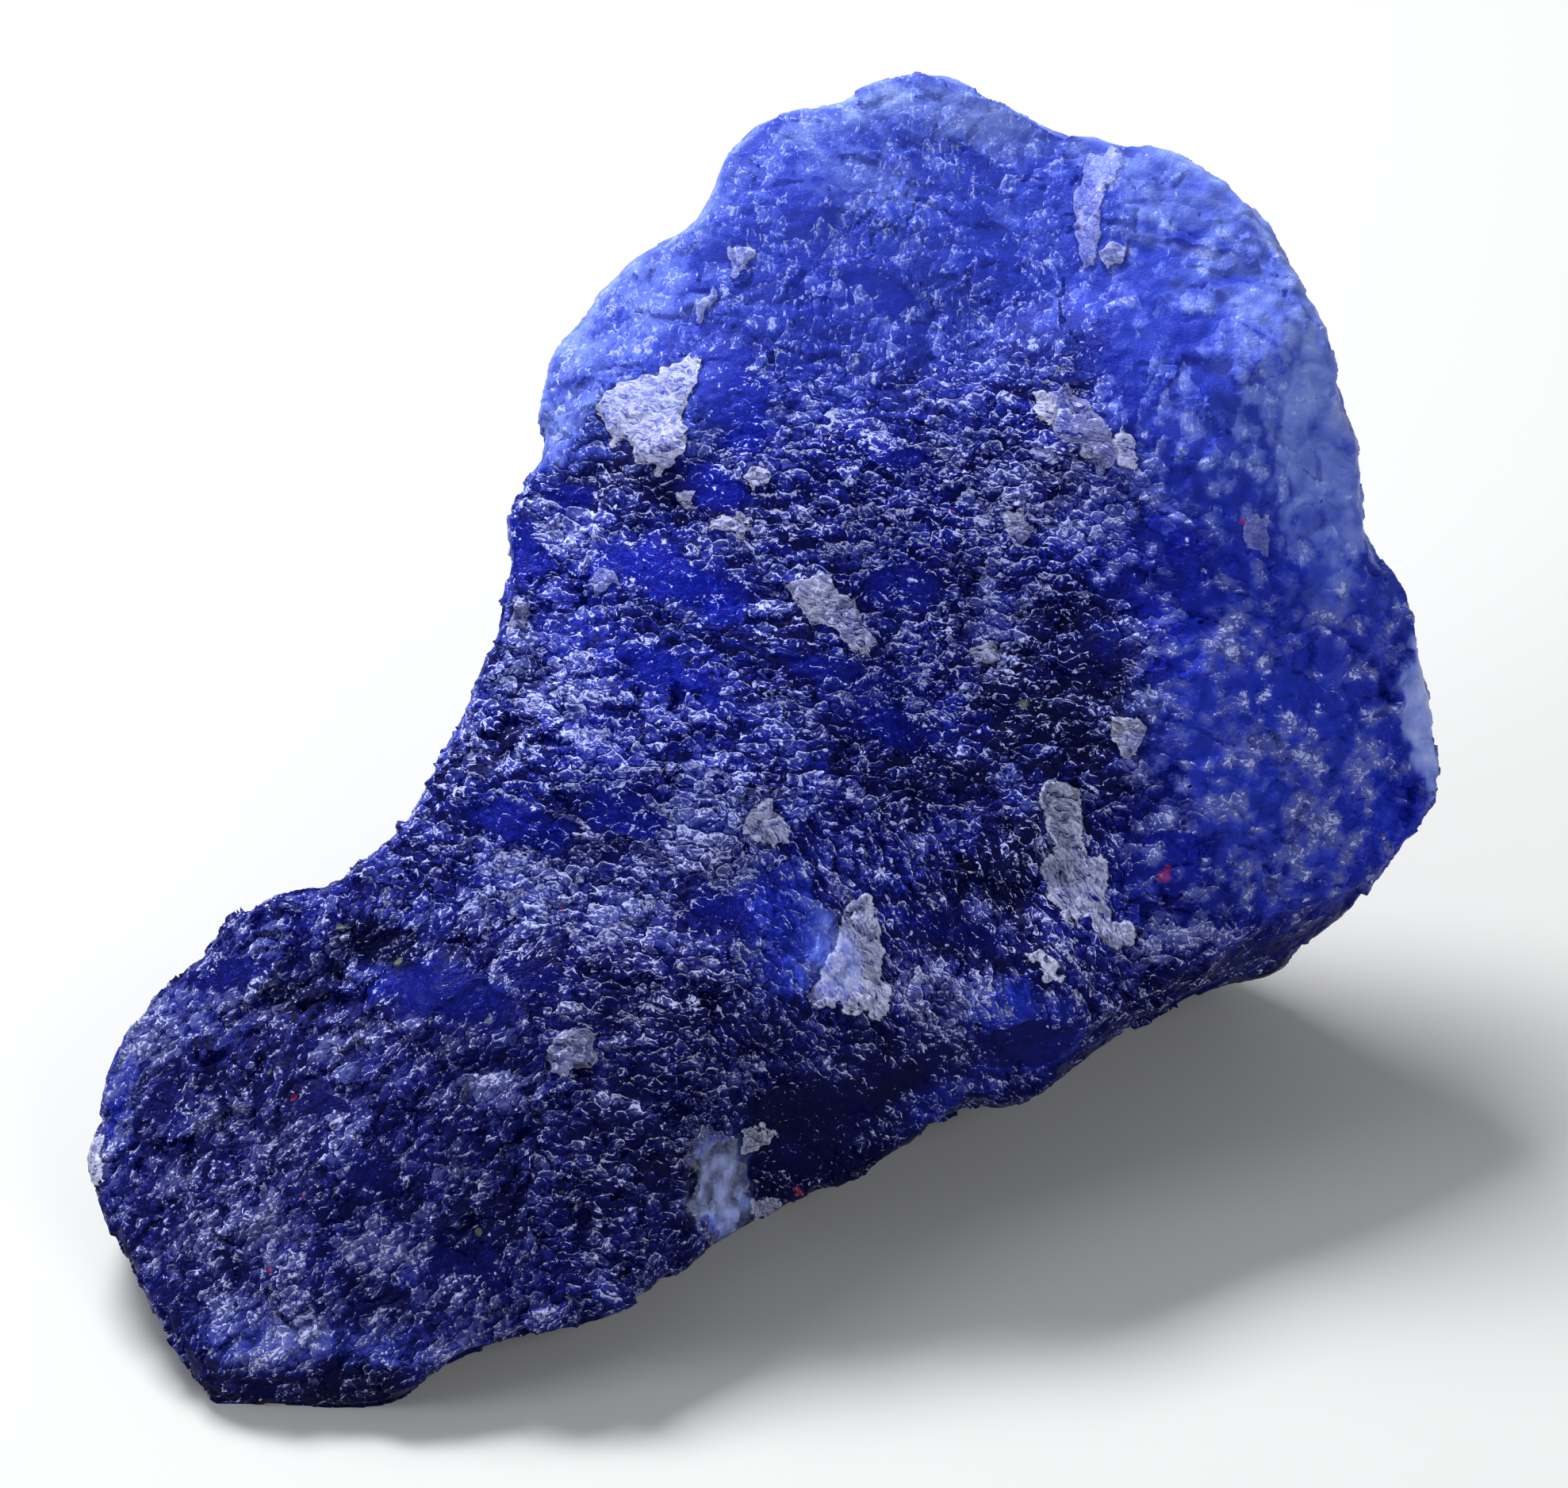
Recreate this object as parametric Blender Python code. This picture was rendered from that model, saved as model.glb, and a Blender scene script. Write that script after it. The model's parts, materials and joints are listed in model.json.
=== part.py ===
"""A rough sapphire: one broken lump of granular blue crystal, boot-shaped, on its own flat break.

Units are metres, +Z is up and the broad face looks towards -Y. The stone is drawn on the plane of that
face, which leans back from upright: "across" runs along +X, "up" runs up the leaning face, and "out"
stands square to it, towards the front. Lengths in the tables below are millimetres on those directions.
"""

from math import cos, radians, sin

import bmesh
import bpy
from mathutils import Vector, noise

MM = 0.001
FACE_LEAN = radians(35)  # how far the broad face leans back from upright
BASE_DROP = 28.5  # from the drawing's zero down to the flat break that the stone stands on
FOOTPRINT_CENTRE = (0.6, -0.8)  # middle of the stone's box, moved onto the origin
BLOCK_OUT, BLOCK_BACK = 22.0, -52.0  # the uncut block reaches this far in front and behind
SPARE_BELOW = 4.0  # left under the flat break until the surface is shaped, then cut away

VOXEL = 0.9  # spacing of the surface while it is being shaped
FACES = 10900  # triangles kept before the flat break is cut, which takes off about a ninth of them

# The rim of the broad face, clockwise from its top, as (across, up).
RIM = [
    (10.3, 43.1), (13.3, 42.0), (16.7, 40.4), (18.4, 38.9), (22.8, 37.8), (23.1, 37.2), (25.8, 37.8),
    (28.5, 36.4), (31.8, 33.2), (33.5, 30.1), (35.7, 26.0), (36.5, 22.3), (37.7, 18.7), (38.2, 12.8),
    (40.4, 9.7), (41.6, 6.4), (42.8, 1.4), (43.6, -2.5), (41.9, -4.9), (39.9, -7.8), (38.5, -10.2),
    (35.3, -12.2), (32.4, -14.5), (27.4, -15.8), (23.3, -18.1), (20.1, -20.1), (16.1, -22.1),
    (12.1, -22.7), (8.1, -25.3), (5.0, -27.5), (-0.1, -29.9), (-3.9, -32.0), (-7.6, -34.2),
    (-13.6, -36.4), (-21.3, -39.1), (-21.6, -40.2), (-27.3, -42.2), (-29.8, -43.2), (-33.9, -41.2),
    (-36.0, -37.9), (-38.0, -33.8), (-40.8, -29.3), (-42.4, -26.7), (-42.2, -22.3), (-40.0, -18.7),
    (-37.0, -14.7), (-32.3, -10.2), (-26.6, -8.6), (-22.6, -5.4), (-20.8, -1.8), (-18.5, 2.7),
    (-16.6, 7.3), (-16.0, 13.8), (-15.3, 15.8), (-14.0, 18.0), (-13.9, 21.2), (-12.7, 25.1),
    (-9.6, 29.1), (-6.7, 31.3), (-3.4, 34.0), (-2.0, 37.7), (2.6, 40.4), (6.6, 41.9),
]
RIM_STEPS = 3  # points that the smooth rim gains between each two of the list

# A break is a flat cut: a point on it (across, up, out), and how "out" changes per mm across and per mm up.
FRONT_BREAKS = {
    "broad_face": ((5, 0, 8.0), (-0.10, -0.10)),
    "left_face": ((-25, -30, 11.5), (0.03, -0.13)),
    "left_round": ((-18, 3, 4.0), (0.45, -0.35)),
}
BODY_FRONT_BREAKS = FRONT_BREAKS | {
    "top_face": ((8, 19, 5.8), (-0.06, -0.42)),
    "right_face": ((27, 5, 3.8), (-0.65, 0.06)),
    "under_face": ((8, -17.5, 9.0), (-0.22, 0.80)),
    "heel_end": ((23.8, -16.6, 3.0), (-1.90, 2.30)),
}
BODY_BACK_BREAKS = {
    "back_face": ((8, 40, -9), (0.05, 0.62)),
    "back_right": ((41, 5, -13), (0.85, 0.25)),
    "back_left": ((-15, 12, -4), (-1.05, 0.15)),
    "right_lobe_back": ((34, 28, -14), (0.9, 0.75)),
    "top_left_back": ((-6, 32, -7), (-0.6, 0.9)),
}
TOE_FRONT_BREAKS = FRONT_BREAKS | {
    "toe_under_face": ((-29, -38.6, 12.6), (0.1, 1.4)),
    "toe_tip_round": ((-40, -30, 6.5), (0.95, 0.2)),
    "toe_step": ((-5.6, -22, 10.5), (-1.4, 0.1)),
}
TOE_BACK_BREAKS = {
    "toe_back": ((-30, -11.3, -3), (-0.75, 1.18)),
    "toe_end": ((-42.5, -25, -1), (-1.5, 0.5)),
}
BODY_SIDE = ((-24, -14, 0), (-1.0, -0.55, 0.0))  # the body and the toe overlap between these two cuts
TOE_SIDE = ((0, -12, 0), (0.55, 1.0, 0.0))

# Soft shapes raised from the front (+) or pressed into it (-): centre, half width, half height, lean in
# degrees, and rise.
FRONT_SHAPES = {
    "dark_hollow": ((17.0, 2.5), 7.0, 11.0, 10, -2.6),
    "window_dish": ((-5.0, 9.5), 7.0, 3.6, -14, -1.0),
    "upper_dish": ((8.5, 23.0), 8.0, 4.0, -8, -0.9),
    "ankle_dish": ((-13.0, -8.0), 6.5, 3.4, 20, -0.9),
    "toe_swell": ((-24.0, -24.0), 9.0, 6.0, -8, 0.9),
    "low_scale": ((-2.6, -26.5), 2.2, 3.4, 6, 1.5),
    "right_swell": ((31.0, 1.0), 5.5, 7.0, 0, 0.9),
    "white_scale": ((-6.9, 20.8), 3.2, 3.2, -30, 0.9),
}
BACK_SHAPES = {
    "back_hollow": ((14, 2), 9.0, 8.0, 20, 2.6),
    "back_rib": ((2, 14), 2.6, 12.0, -24, -1.8),
    "back_scoop": ((28, 14), 6.0, 5.0, 40, 1.9),
}
# Steps in the front: the surface to the right of a line drops by "step" and comes back over "reach".
STEPS = {
    "lobe_crease": {
        "line": [(23, 40), (20.6, 34.5), (20.2, 30.5), (21.8, 27.5)], "step": 2.4, "reach": 16
    },
    "middle_scarp": {
        "line": [(-1, -3.5), (1.5, -6), (5, -9.5), (8.3, -13.5), (8, -19.5)], "step": 2.0, "reach": 7
    },
    "long_scale": {
        "line": [(23.5, -13), (20, -10.5), (17.8, -8), (18.5, -6), (17.3, -2)], "step": 1.8, "reach": 6
    },
    "upper_ledge": {
        "line": [(-16, 18.6), (-9, 17.6), (-5.5, 17), (-3.6, 19.4), (1, 20.4)], "step": 1.1, "reach": 7
    },
    "toe_ledge": {
        "line": [(-33, -16), (-28, -13.8), (-24, -11.8), (-19.5, -11.2)], "step": 1.7, "reach": 4
    },
}
STEP_WIDTH = 1.7  # how far across the line the drop is spread
STEP_FADE = 0.25  # share of the line, at each end, over which its step runs out
FACING_GAIN = 2.2  # the shapes fade out as the surface turns edge-on to the drawing

# Roughness over the whole surface: size of the lumps and how far they rise.
LUMPS = ((14.0, 0.6), (5.5, 0.45), (2.4, 0.35))
CHIPS = {"size": 6.0, "rise": 0.6}
SOFTENING = 0.35  # one pass of smoothing, so that steps across the net don't show its teeth


def to_world(across, up, out):
    """A point of the drawing, in mm, as a place in the world, in metres."""
    y = up * sin(FACE_LEAN) - out * cos(FACE_LEAN) - FOOTPRINT_CENTRE[1]
    z = up * cos(FACE_LEAN) + out * sin(FACE_LEAN) + BASE_DROP
    return Vector((across - FOOTPRINT_CENTRE[0], y, z)) * MM


def to_drawing(point):
    """The reverse of to_world: (across, up, out) in mm."""
    x, y, z = point / MM
    x += FOOTPRINT_CENTRE[0]
    y += FOOTPRINT_CENTRE[1]
    z -= BASE_DROP
    up = y * sin(FACE_LEAN) + z * cos(FACE_LEAN)
    out = z * sin(FACE_LEAN) - y * cos(FACE_LEAN)
    return x, up, out


def direction_in_world(across, up, out):
    return (to_world(across, up, out) - to_world(0, 0, 0)).normalized()


def clear_scene():
    for obj in list(bpy.data.objects):
        bpy.data.objects.remove(obj, do_unlink=True)


def smooth_rim():
    """The rim as a closed Catmull-Rom curve through its listed points."""
    points = []
    count = len(RIM)
    for i in range(count):
        a, b, c, d = (Vector(RIM[(i + k) % count]) for k in (-1, 0, 1, 2))
        bend = 2 * a - 5 * b + 4 * c - d
        twist = 3 * b - a - 3 * c + d
        for step in range(RIM_STEPS):
            t = step / RIM_STEPS
            points.append(b + (c - a) * (t / 2) + bend * (t**2 / 2) + twist * (t**3 / 2))
    return points


def cut(bm, point, normal):
    """Takes off what lies beyond a plane of the world and closes the cut."""
    everything = bm.verts[:] + bm.edges[:] + bm.faces[:]
    bmesh.ops.bisect_plane(
        bm, geom=everything, dist=1e-7, plane_co=point, plane_no=normal, clear_outer=True
    )
    open_edges = [e for e in bm.edges if e.is_boundary]
    if open_edges:
        bmesh.ops.edgeloop_fill(bm, edges=open_edges)


def add_block(form, front_breaks, back_breaks, side_cut):
    """The rim pulled straight out to a thick block, broken flat on every side, and added to the form."""
    bm = bmesh.new()
    front = [bm.verts.new(to_world(p.x, p.y, BLOCK_OUT)) for p in smooth_rim()]
    back = [bm.verts.new(to_world(p.x, p.y, BLOCK_BACK)) for p in smooth_rim()]
    bm.faces.new(front)
    bm.faces.new(reversed(back))
    for i in range(len(front)):
        bm.faces.new((front[i - 1], front[i], back[i], back[i - 1]))
    bmesh.ops.recalc_face_normals(bm, faces=bm.faces[:])
    for side, breaks in ((1, front_breaks), (-1, back_breaks)):
        for at, (per_across, per_up) in breaks.values():
            cut(bm, to_world(*at), side * direction_in_world(-per_across, -per_up, 1))
    cut(bm, to_world(*side_cut[0]), direction_in_world(*side_cut[1]))
    cut(bm, Vector((0, 0, -SPARE_BELOW * MM)), Vector((0, 0, -1)))
    bmesh.ops.recalc_face_normals(bm, faces=bm.faces[:])
    block = bpy.data.meshes.new("block")
    bm.to_mesh(block)
    bm.free()
    form.from_mesh(block)
    bpy.data.meshes.remove(block)


def as_mesh(obj, name):
    """The object's mesh with its modifiers in it."""
    bpy.context.view_layer.update()
    graph = bpy.context.evaluated_depsgraph_get()
    mesh = bpy.data.meshes.new_from_object(obj.evaluated_get(graph))
    mesh.name = name
    return mesh


def rough_form():
    """Body and toe, which overlap at the ankle, under one even net of faces."""
    form = bmesh.new()
    add_block(form, BODY_FRONT_BREAKS, BODY_BACK_BREAKS, BODY_SIDE)
    add_block(form, TOE_FRONT_BREAKS, TOE_BACK_BREAKS, TOE_SIDE)
    blocks = bpy.data.meshes.new("blocks")
    form.to_mesh(blocks)
    form.free()
    obj = bpy.data.objects.new("blocks", blocks)
    bpy.context.scene.collection.objects.link(obj)
    net = obj.modifiers.new("even_net", "REMESH")
    net.mode = "VOXEL"
    net.voxel_size = VOXEL * MM
    mesh = as_mesh(obj, "rough_form")
    bpy.data.objects.remove(obj, do_unlink=True)
    return mesh


def soft_step(value):
    value = min(1.0, max(0.0, value))
    return value * value * (3 - 2 * value)


def shape_rise(shapes, across, up):
    """The sum of the soft shapes at a place of the drawing."""
    total = 0.0
    for (c_across, c_up), half_width, half_height, lean, rise in shapes.values():
        turn = radians(lean)
        dx, dy = across - c_across, up - c_up
        along = (dx * cos(turn) + dy * sin(turn)) / half_width
        beside = (dy * cos(turn) - dx * sin(turn)) / half_height
        reach = along * along + beside * beside
        if reach < 4:
            total += rise * soft_step(1 - reach / 4)
    return total


def beside(line, across, up):
    """How far to the right of a line of points a place lies, and how far along it, from 0 to 1."""
    best = None
    for i in range(len(line) - 1):
        start, end = Vector(line[i]), Vector(line[i + 1])
        along = end - start
        part = min(1.0, max(0.0, (Vector((across, up)) - start).dot(along) / along.length_squared))
        gap = Vector((across, up)) - (start + along * part)
        if best is None or gap.length < best[0]:
            right = gap.x * along.y - gap.y * along.x
            best = (gap.length, 1 if right > 0 else -1, (i + part) / (len(line) - 1))
    return best[0] * best[1], best[2]


def step_drop(across, up):
    """The sum of the front's steps at a place of the drawing."""
    total = 0.0
    for step in STEPS.values():
        right, along = beside(step["line"], across, up)
        if -STEP_WIDTH < right < step["reach"]:
            drop = soft_step(right / STEP_WIDTH + 0.5) * (1 - soft_step(right / step["reach"]))
            total -= step["step"] * drop * soft_step(along / STEP_FADE) * soft_step((1 - along) / STEP_FADE)
    return total


def roughness(point):
    """Lumps of three sizes and flat chips, along the surface's own normal, in mm."""
    place = point / MM
    rise = 0.0
    for size, height in LUMPS:
        rise += height * noise.noise(place / size + Vector((size, 0, 0)))
    distances = noise.voronoi(place / CHIPS["size"], distance_metric="DISTANCE")[0]
    return rise + CHIPS["rise"] * (0.45 - distances[0])


def shape_surface(mesh):
    """Moves each point of the net: soft shapes along "out", roughness along its normal."""
    outward = direction_in_world(0, 0, 1)
    normals = [v.normal.copy() for v in mesh.vertices]
    for vertex, normal in zip(mesh.vertices, normals):
        across, up, _ = to_drawing(vertex.co)
        facing = normal.dot(outward)
        move = normal * roughness(vertex.co)
        if facing > 0:
            front = shape_rise(FRONT_SHAPES, across, up) + step_drop(across, up)
            move += outward * front * soft_step(facing * FACING_GAIN)
        else:
            back = shape_rise(BACK_SHAPES, across, up)
            move += outward * back * soft_step(-facing * FACING_GAIN)
        vertex.co += move * MM
    bm = bmesh.new()
    bm.from_mesh(mesh)
    axes = {"use_axis_x": True, "use_axis_y": True, "use_axis_z": True}
    bmesh.ops.smooth_vert(bm, verts=bm.verts[:], factor=SOFTENING, **axes)
    bm.to_mesh(mesh)
    bm.free()


def drop_folds(bm):
    """Takes out pairs of faces that lie folded flat onto each other."""
    at_corners = {}
    for face in bm.faces:
        at_corners.setdefault(frozenset(v.index for v in face.verts), []).append(face)
    folded = [face for faces in at_corners.values() if len(faces) > 1 for face in faces]
    bmesh.ops.delete(bm, geom=folded, context="FACES")


def finish(mesh, name):
    """Fewer faces, a level break underneath, and a single closed skin."""
    obj = bpy.data.objects.new(name, mesh)
    bpy.context.scene.collection.objects.link(obj)
    triangles = sum(len(p.vertices) - 2 for p in mesh.polygons)
    fewer = obj.modifiers.new("fewer_faces", "DECIMATE")
    fewer.ratio = FACES / triangles
    fewer.use_collapse_triangulate = True
    done = as_mesh(obj, name)
    obj.modifiers.clear()
    obj.data = done
    bm = bmesh.new()
    bm.from_mesh(done)
    drop_folds(bm)
    cut(bm, Vector((0, 0, 0)), Vector((0, 0, -1)))
    bmesh.ops.triangulate(bm, faces=bm.faces[:])
    bmesh.ops.recalc_face_normals(bm, faces=bm.faces[:])
    bm.to_mesh(done)
    bm.free()
    return obj


def sapphire_material():
    material = bpy.data.materials.new("rough_sapphire")
    material.use_nodes = True
    shader = material.node_tree.nodes["Principled BSDF"]
    shader.inputs["Base Color"].default_value = (0.022, 0.032, 0.31, 1)
    shader.inputs["Roughness"].default_value = 0.35
    shader.inputs["IOR"].default_value = 1.77
    return material


def main():
    clear_scene()
    mesh = rough_form()
    shape_surface(mesh)
    stone = finish(mesh, "sapphire")
    stone.data.materials.append(sapphire_material())


main()
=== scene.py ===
# Rough sapphire, boot-shaped: cloudy blue corundum with a broken, sugary surface.
import json
import math

import bmesh
import bpy
import numpy as np
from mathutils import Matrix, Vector, noise
from mathutils.bvhtree import BVHTree

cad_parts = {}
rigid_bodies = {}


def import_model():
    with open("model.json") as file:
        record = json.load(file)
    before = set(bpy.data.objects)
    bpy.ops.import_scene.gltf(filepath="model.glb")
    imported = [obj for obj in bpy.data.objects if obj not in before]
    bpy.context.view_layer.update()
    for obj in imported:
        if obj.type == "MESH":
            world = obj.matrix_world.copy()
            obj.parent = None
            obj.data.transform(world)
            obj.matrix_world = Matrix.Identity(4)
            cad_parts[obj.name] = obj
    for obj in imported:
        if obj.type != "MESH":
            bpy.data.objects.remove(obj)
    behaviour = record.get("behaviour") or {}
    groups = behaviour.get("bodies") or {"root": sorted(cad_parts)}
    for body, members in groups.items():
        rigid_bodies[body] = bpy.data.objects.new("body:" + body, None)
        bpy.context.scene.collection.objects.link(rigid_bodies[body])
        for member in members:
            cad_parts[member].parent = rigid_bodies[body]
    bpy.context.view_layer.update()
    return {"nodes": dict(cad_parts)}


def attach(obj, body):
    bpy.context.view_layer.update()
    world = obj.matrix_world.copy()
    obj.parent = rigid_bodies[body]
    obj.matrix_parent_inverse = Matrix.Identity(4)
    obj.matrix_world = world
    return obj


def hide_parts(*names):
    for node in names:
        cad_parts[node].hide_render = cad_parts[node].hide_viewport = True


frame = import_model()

mm = 0.001

# The broad face is laid out on a plane that leans back: across, up the face and out of it, in mm.
layout = {
    "lean": math.radians(35),
    "baseDrop": 28.5,
    "footprintCentre": (0.6, -0.8),
    "grainSlant": math.radians(17),  # the crystals lie slanting down to the right
    "flowTurn": math.radians(43),  # how much steeper they lie below, and the other way in the toe
}
acrossAxis = Vector((1, 0, 0))
upAxis = Vector((0, math.sin(layout["lean"]), math.cos(layout["lean"])))
outAxis = Vector((0, -math.cos(layout["lean"]), math.sin(layout["lean"])))
origin = Vector((-layout["footprintCentre"][0], -layout["footprintCentre"][1], layout["baseDrop"]))


def toWorld(across, up, out):
    return (origin + acrossAxis * across + upAxis * up + outAxis * out) * mm


def toLayout(points):
    fromOrigin = points / mm - np.array(origin)
    return fromOrigin @ np.array(acrossAxis), fromOrigin @ np.array(upAxis)


def softStep(low, high, value):
    t = np.clip((value - low) / (high - low), 0, 1)
    return t * t * (3 - 2 * t)


# Small tools for meshes and nodes


def readPoints(mesh, kind="co"):
    values = np.empty(len(mesh.vertices) * 3, np.float32)
    mesh.vertices.foreach_get(kind, values)
    return values.reshape(-1, 3).astype(np.float64)


def addObject(name, data):
    obj = bpy.data.objects.new(name, data)
    bpy.context.scene.collection.objects.link(obj)
    return obj


def plainMesh(obj, name):
    bpy.context.view_layer.update()
    graph = bpy.context.evaluated_depsgraph_get()
    mesh = bpy.data.meshes.new_from_object(obj.evaluated_get(graph), depsgraph=graph)
    mesh.name = name
    return mesh


def meshFrom(bm, name):
    mesh = bpy.data.meshes.new(name)
    bm.to_mesh(mesh)
    bm.free()
    return mesh


def noiseField(points, size, seed):
    shift = np.array((7.1, 3.3, 5.7)) * seed
    return np.array([noise.noise(place) for place in (points / size + shift).tolist()])


def addNode(tree, kind, inputs=None, **settings):
    node = tree.nodes.new(kind)
    for key, value in settings.items():
        setattr(node, key, value)
    for key, value in (inputs or {}).items():
        if isinstance(value, bpy.types.Node):
            value = next(socket for socket in value.outputs if socket.enabled)
        if isinstance(value, bpy.types.NodeSocket):
            tree.links.new(value, node.inputs[key])
        else:
            node.inputs[key].default_value = value
    return node


def geometryTree(name, inputs, attributes):
    # a tree with its inputs, and what can be read in it: those inputs and the surface's attributes
    tree = bpy.data.node_groups.new(name, "GeometryNodeTree")
    tree.interface.new_socket("Geometry", in_out="INPUT", socket_type="NodeSocketGeometry")
    for label, value in inputs.items():
        kind = "NodeSocketInt" if isinstance(value, int) else "NodeSocketFloat"
        tree.interface.new_socket(label, in_out="INPUT", socket_type=kind).default_value = value
    tree.interface.new_socket("Geometry", in_out="OUTPUT", socket_type="NodeSocketGeometry")
    mark = {socket.name: socket for socket in tree.nodes.new("NodeGroupInput").outputs}
    for label in attributes:
        mark[label] = addNode(tree, "GeometryNodeInputNamedAttribute", {"Name": label}, data_type="FLOAT")
    return tree, mark


def mixMarks(tree, mark, rules):
    # a dictionary is a sum of shares, three values are an operation, five bring one range to another
    for name, rule in rules.items():
        if isinstance(rule, dict):
            total = rule.get("start", 0.0)
            total = mark.get(total, total)
            for part, share in rule.items():
                if part != "start":
                    total = addNode(
                        tree, "ShaderNodeMath", {0: mark[part], 1: mark.get(share, share), 2: total},
                        operation="MULTIPLY_ADD",
                    )
            mark[name] = total
            continue
        operation, *values = rule if len(rule) == 3 else (None, *rule)
        inputs = dict(enumerate(mark.get(value, value) for value in values))
        if operation:
            mark[name] = addNode(tree, "ShaderNodeMath", inputs, operation=operation)
        else:
            mark[name] = addNode(tree, "ShaderNodeMapRange", inputs)


def grainPlaces(tree, place, slant):
    # the place in mm, the same leaned back to the layout, and that turned so that the crystals lie across
    inMm = addNode(tree, "ShaderNodeVectorMath", {0: place, "Scale": 1 / mm}, operation="SCALE")
    leanBack = (layout["lean"] - math.pi / 2, 0, 0)
    upright = addNode(
        tree, "ShaderNodeVectorRotate", {"Vector": inMm, "Rotation": leanBack}, rotation_type="EULER_XYZ"
    )
    slanted = addNode(
        tree, "ShaderNodeVectorRotate", {"Vector": upright, "Angle": slant}, rotation_type="Z_AXIS"
    )
    return inMm, upright, slanted


def crystalCells(tree, place, scale, distance="EUCLIDEAN"):
    # each cell is one crystal, with a tone and a lean of its own
    cells = addNode(tree, "ShaderNodeTexVoronoi", {"Vector": place, "Scale": scale}, distance=distance)
    fromCentre = addNode(
        tree, "ShaderNodeVectorMath", {0: place, 1: cells.outputs["Position"]}, operation="SUBTRACT"
    )
    lean = addNode(
        tree, "ShaderNodeVectorMath", {0: cells.outputs["Color"], 1: (-0.5, -0.5, -0.5)}, operation="ADD"
    )
    return cells, fromCentre, lean


def linearColour(code):
    channels = [int(code[start : start + 2], 16) / 255 for start in (1, 3, 5)]
    return (*(c / 12.92 if c <= 0.04045 else ((c + 0.055) / 1.055) ** 2.4 for c in channels), 1.0)


# Form of the stone: the solid under a fine net of faces

form = {
    "net": 0.205,  # mm between two points of the net
    "easing": 24,  # rounds of smoothing, which take the solid's own facets away
}


def solidMesh():
    bm = bmesh.new()
    bm.from_mesh(frame["nodes"]["sapphire"].data)
    bmesh.ops.remove_doubles(bm, verts=bm.verts[:], dist=1e-6)
    tree = BVHTree.FromBMesh(bm)
    return meshFrom(bm, "solid"), tree


def nettedForm(solid):
    obj = addObject("form", solid)
    rounded = obj.modifiers.new("rounded", "SUBSURF")
    rounded.levels = rounded.render_levels = 1
    net = obj.modifiers.new("net", "REMESH")
    net.mode = "VOXEL"
    net.voxel_size = form["net"] * mm
    eased = obj.modifiers.new("eased", "SMOOTH")
    eased.factor = 0.5
    eased.iterations = form["easing"]
    mesh = plainMesh(obj, "form")
    bpy.data.objects.remove(obj, do_unlink=True)
    return mesh


# Fields from 0 to 1: where the stone is milky, dark, glassy, scaly or gritty

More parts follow.
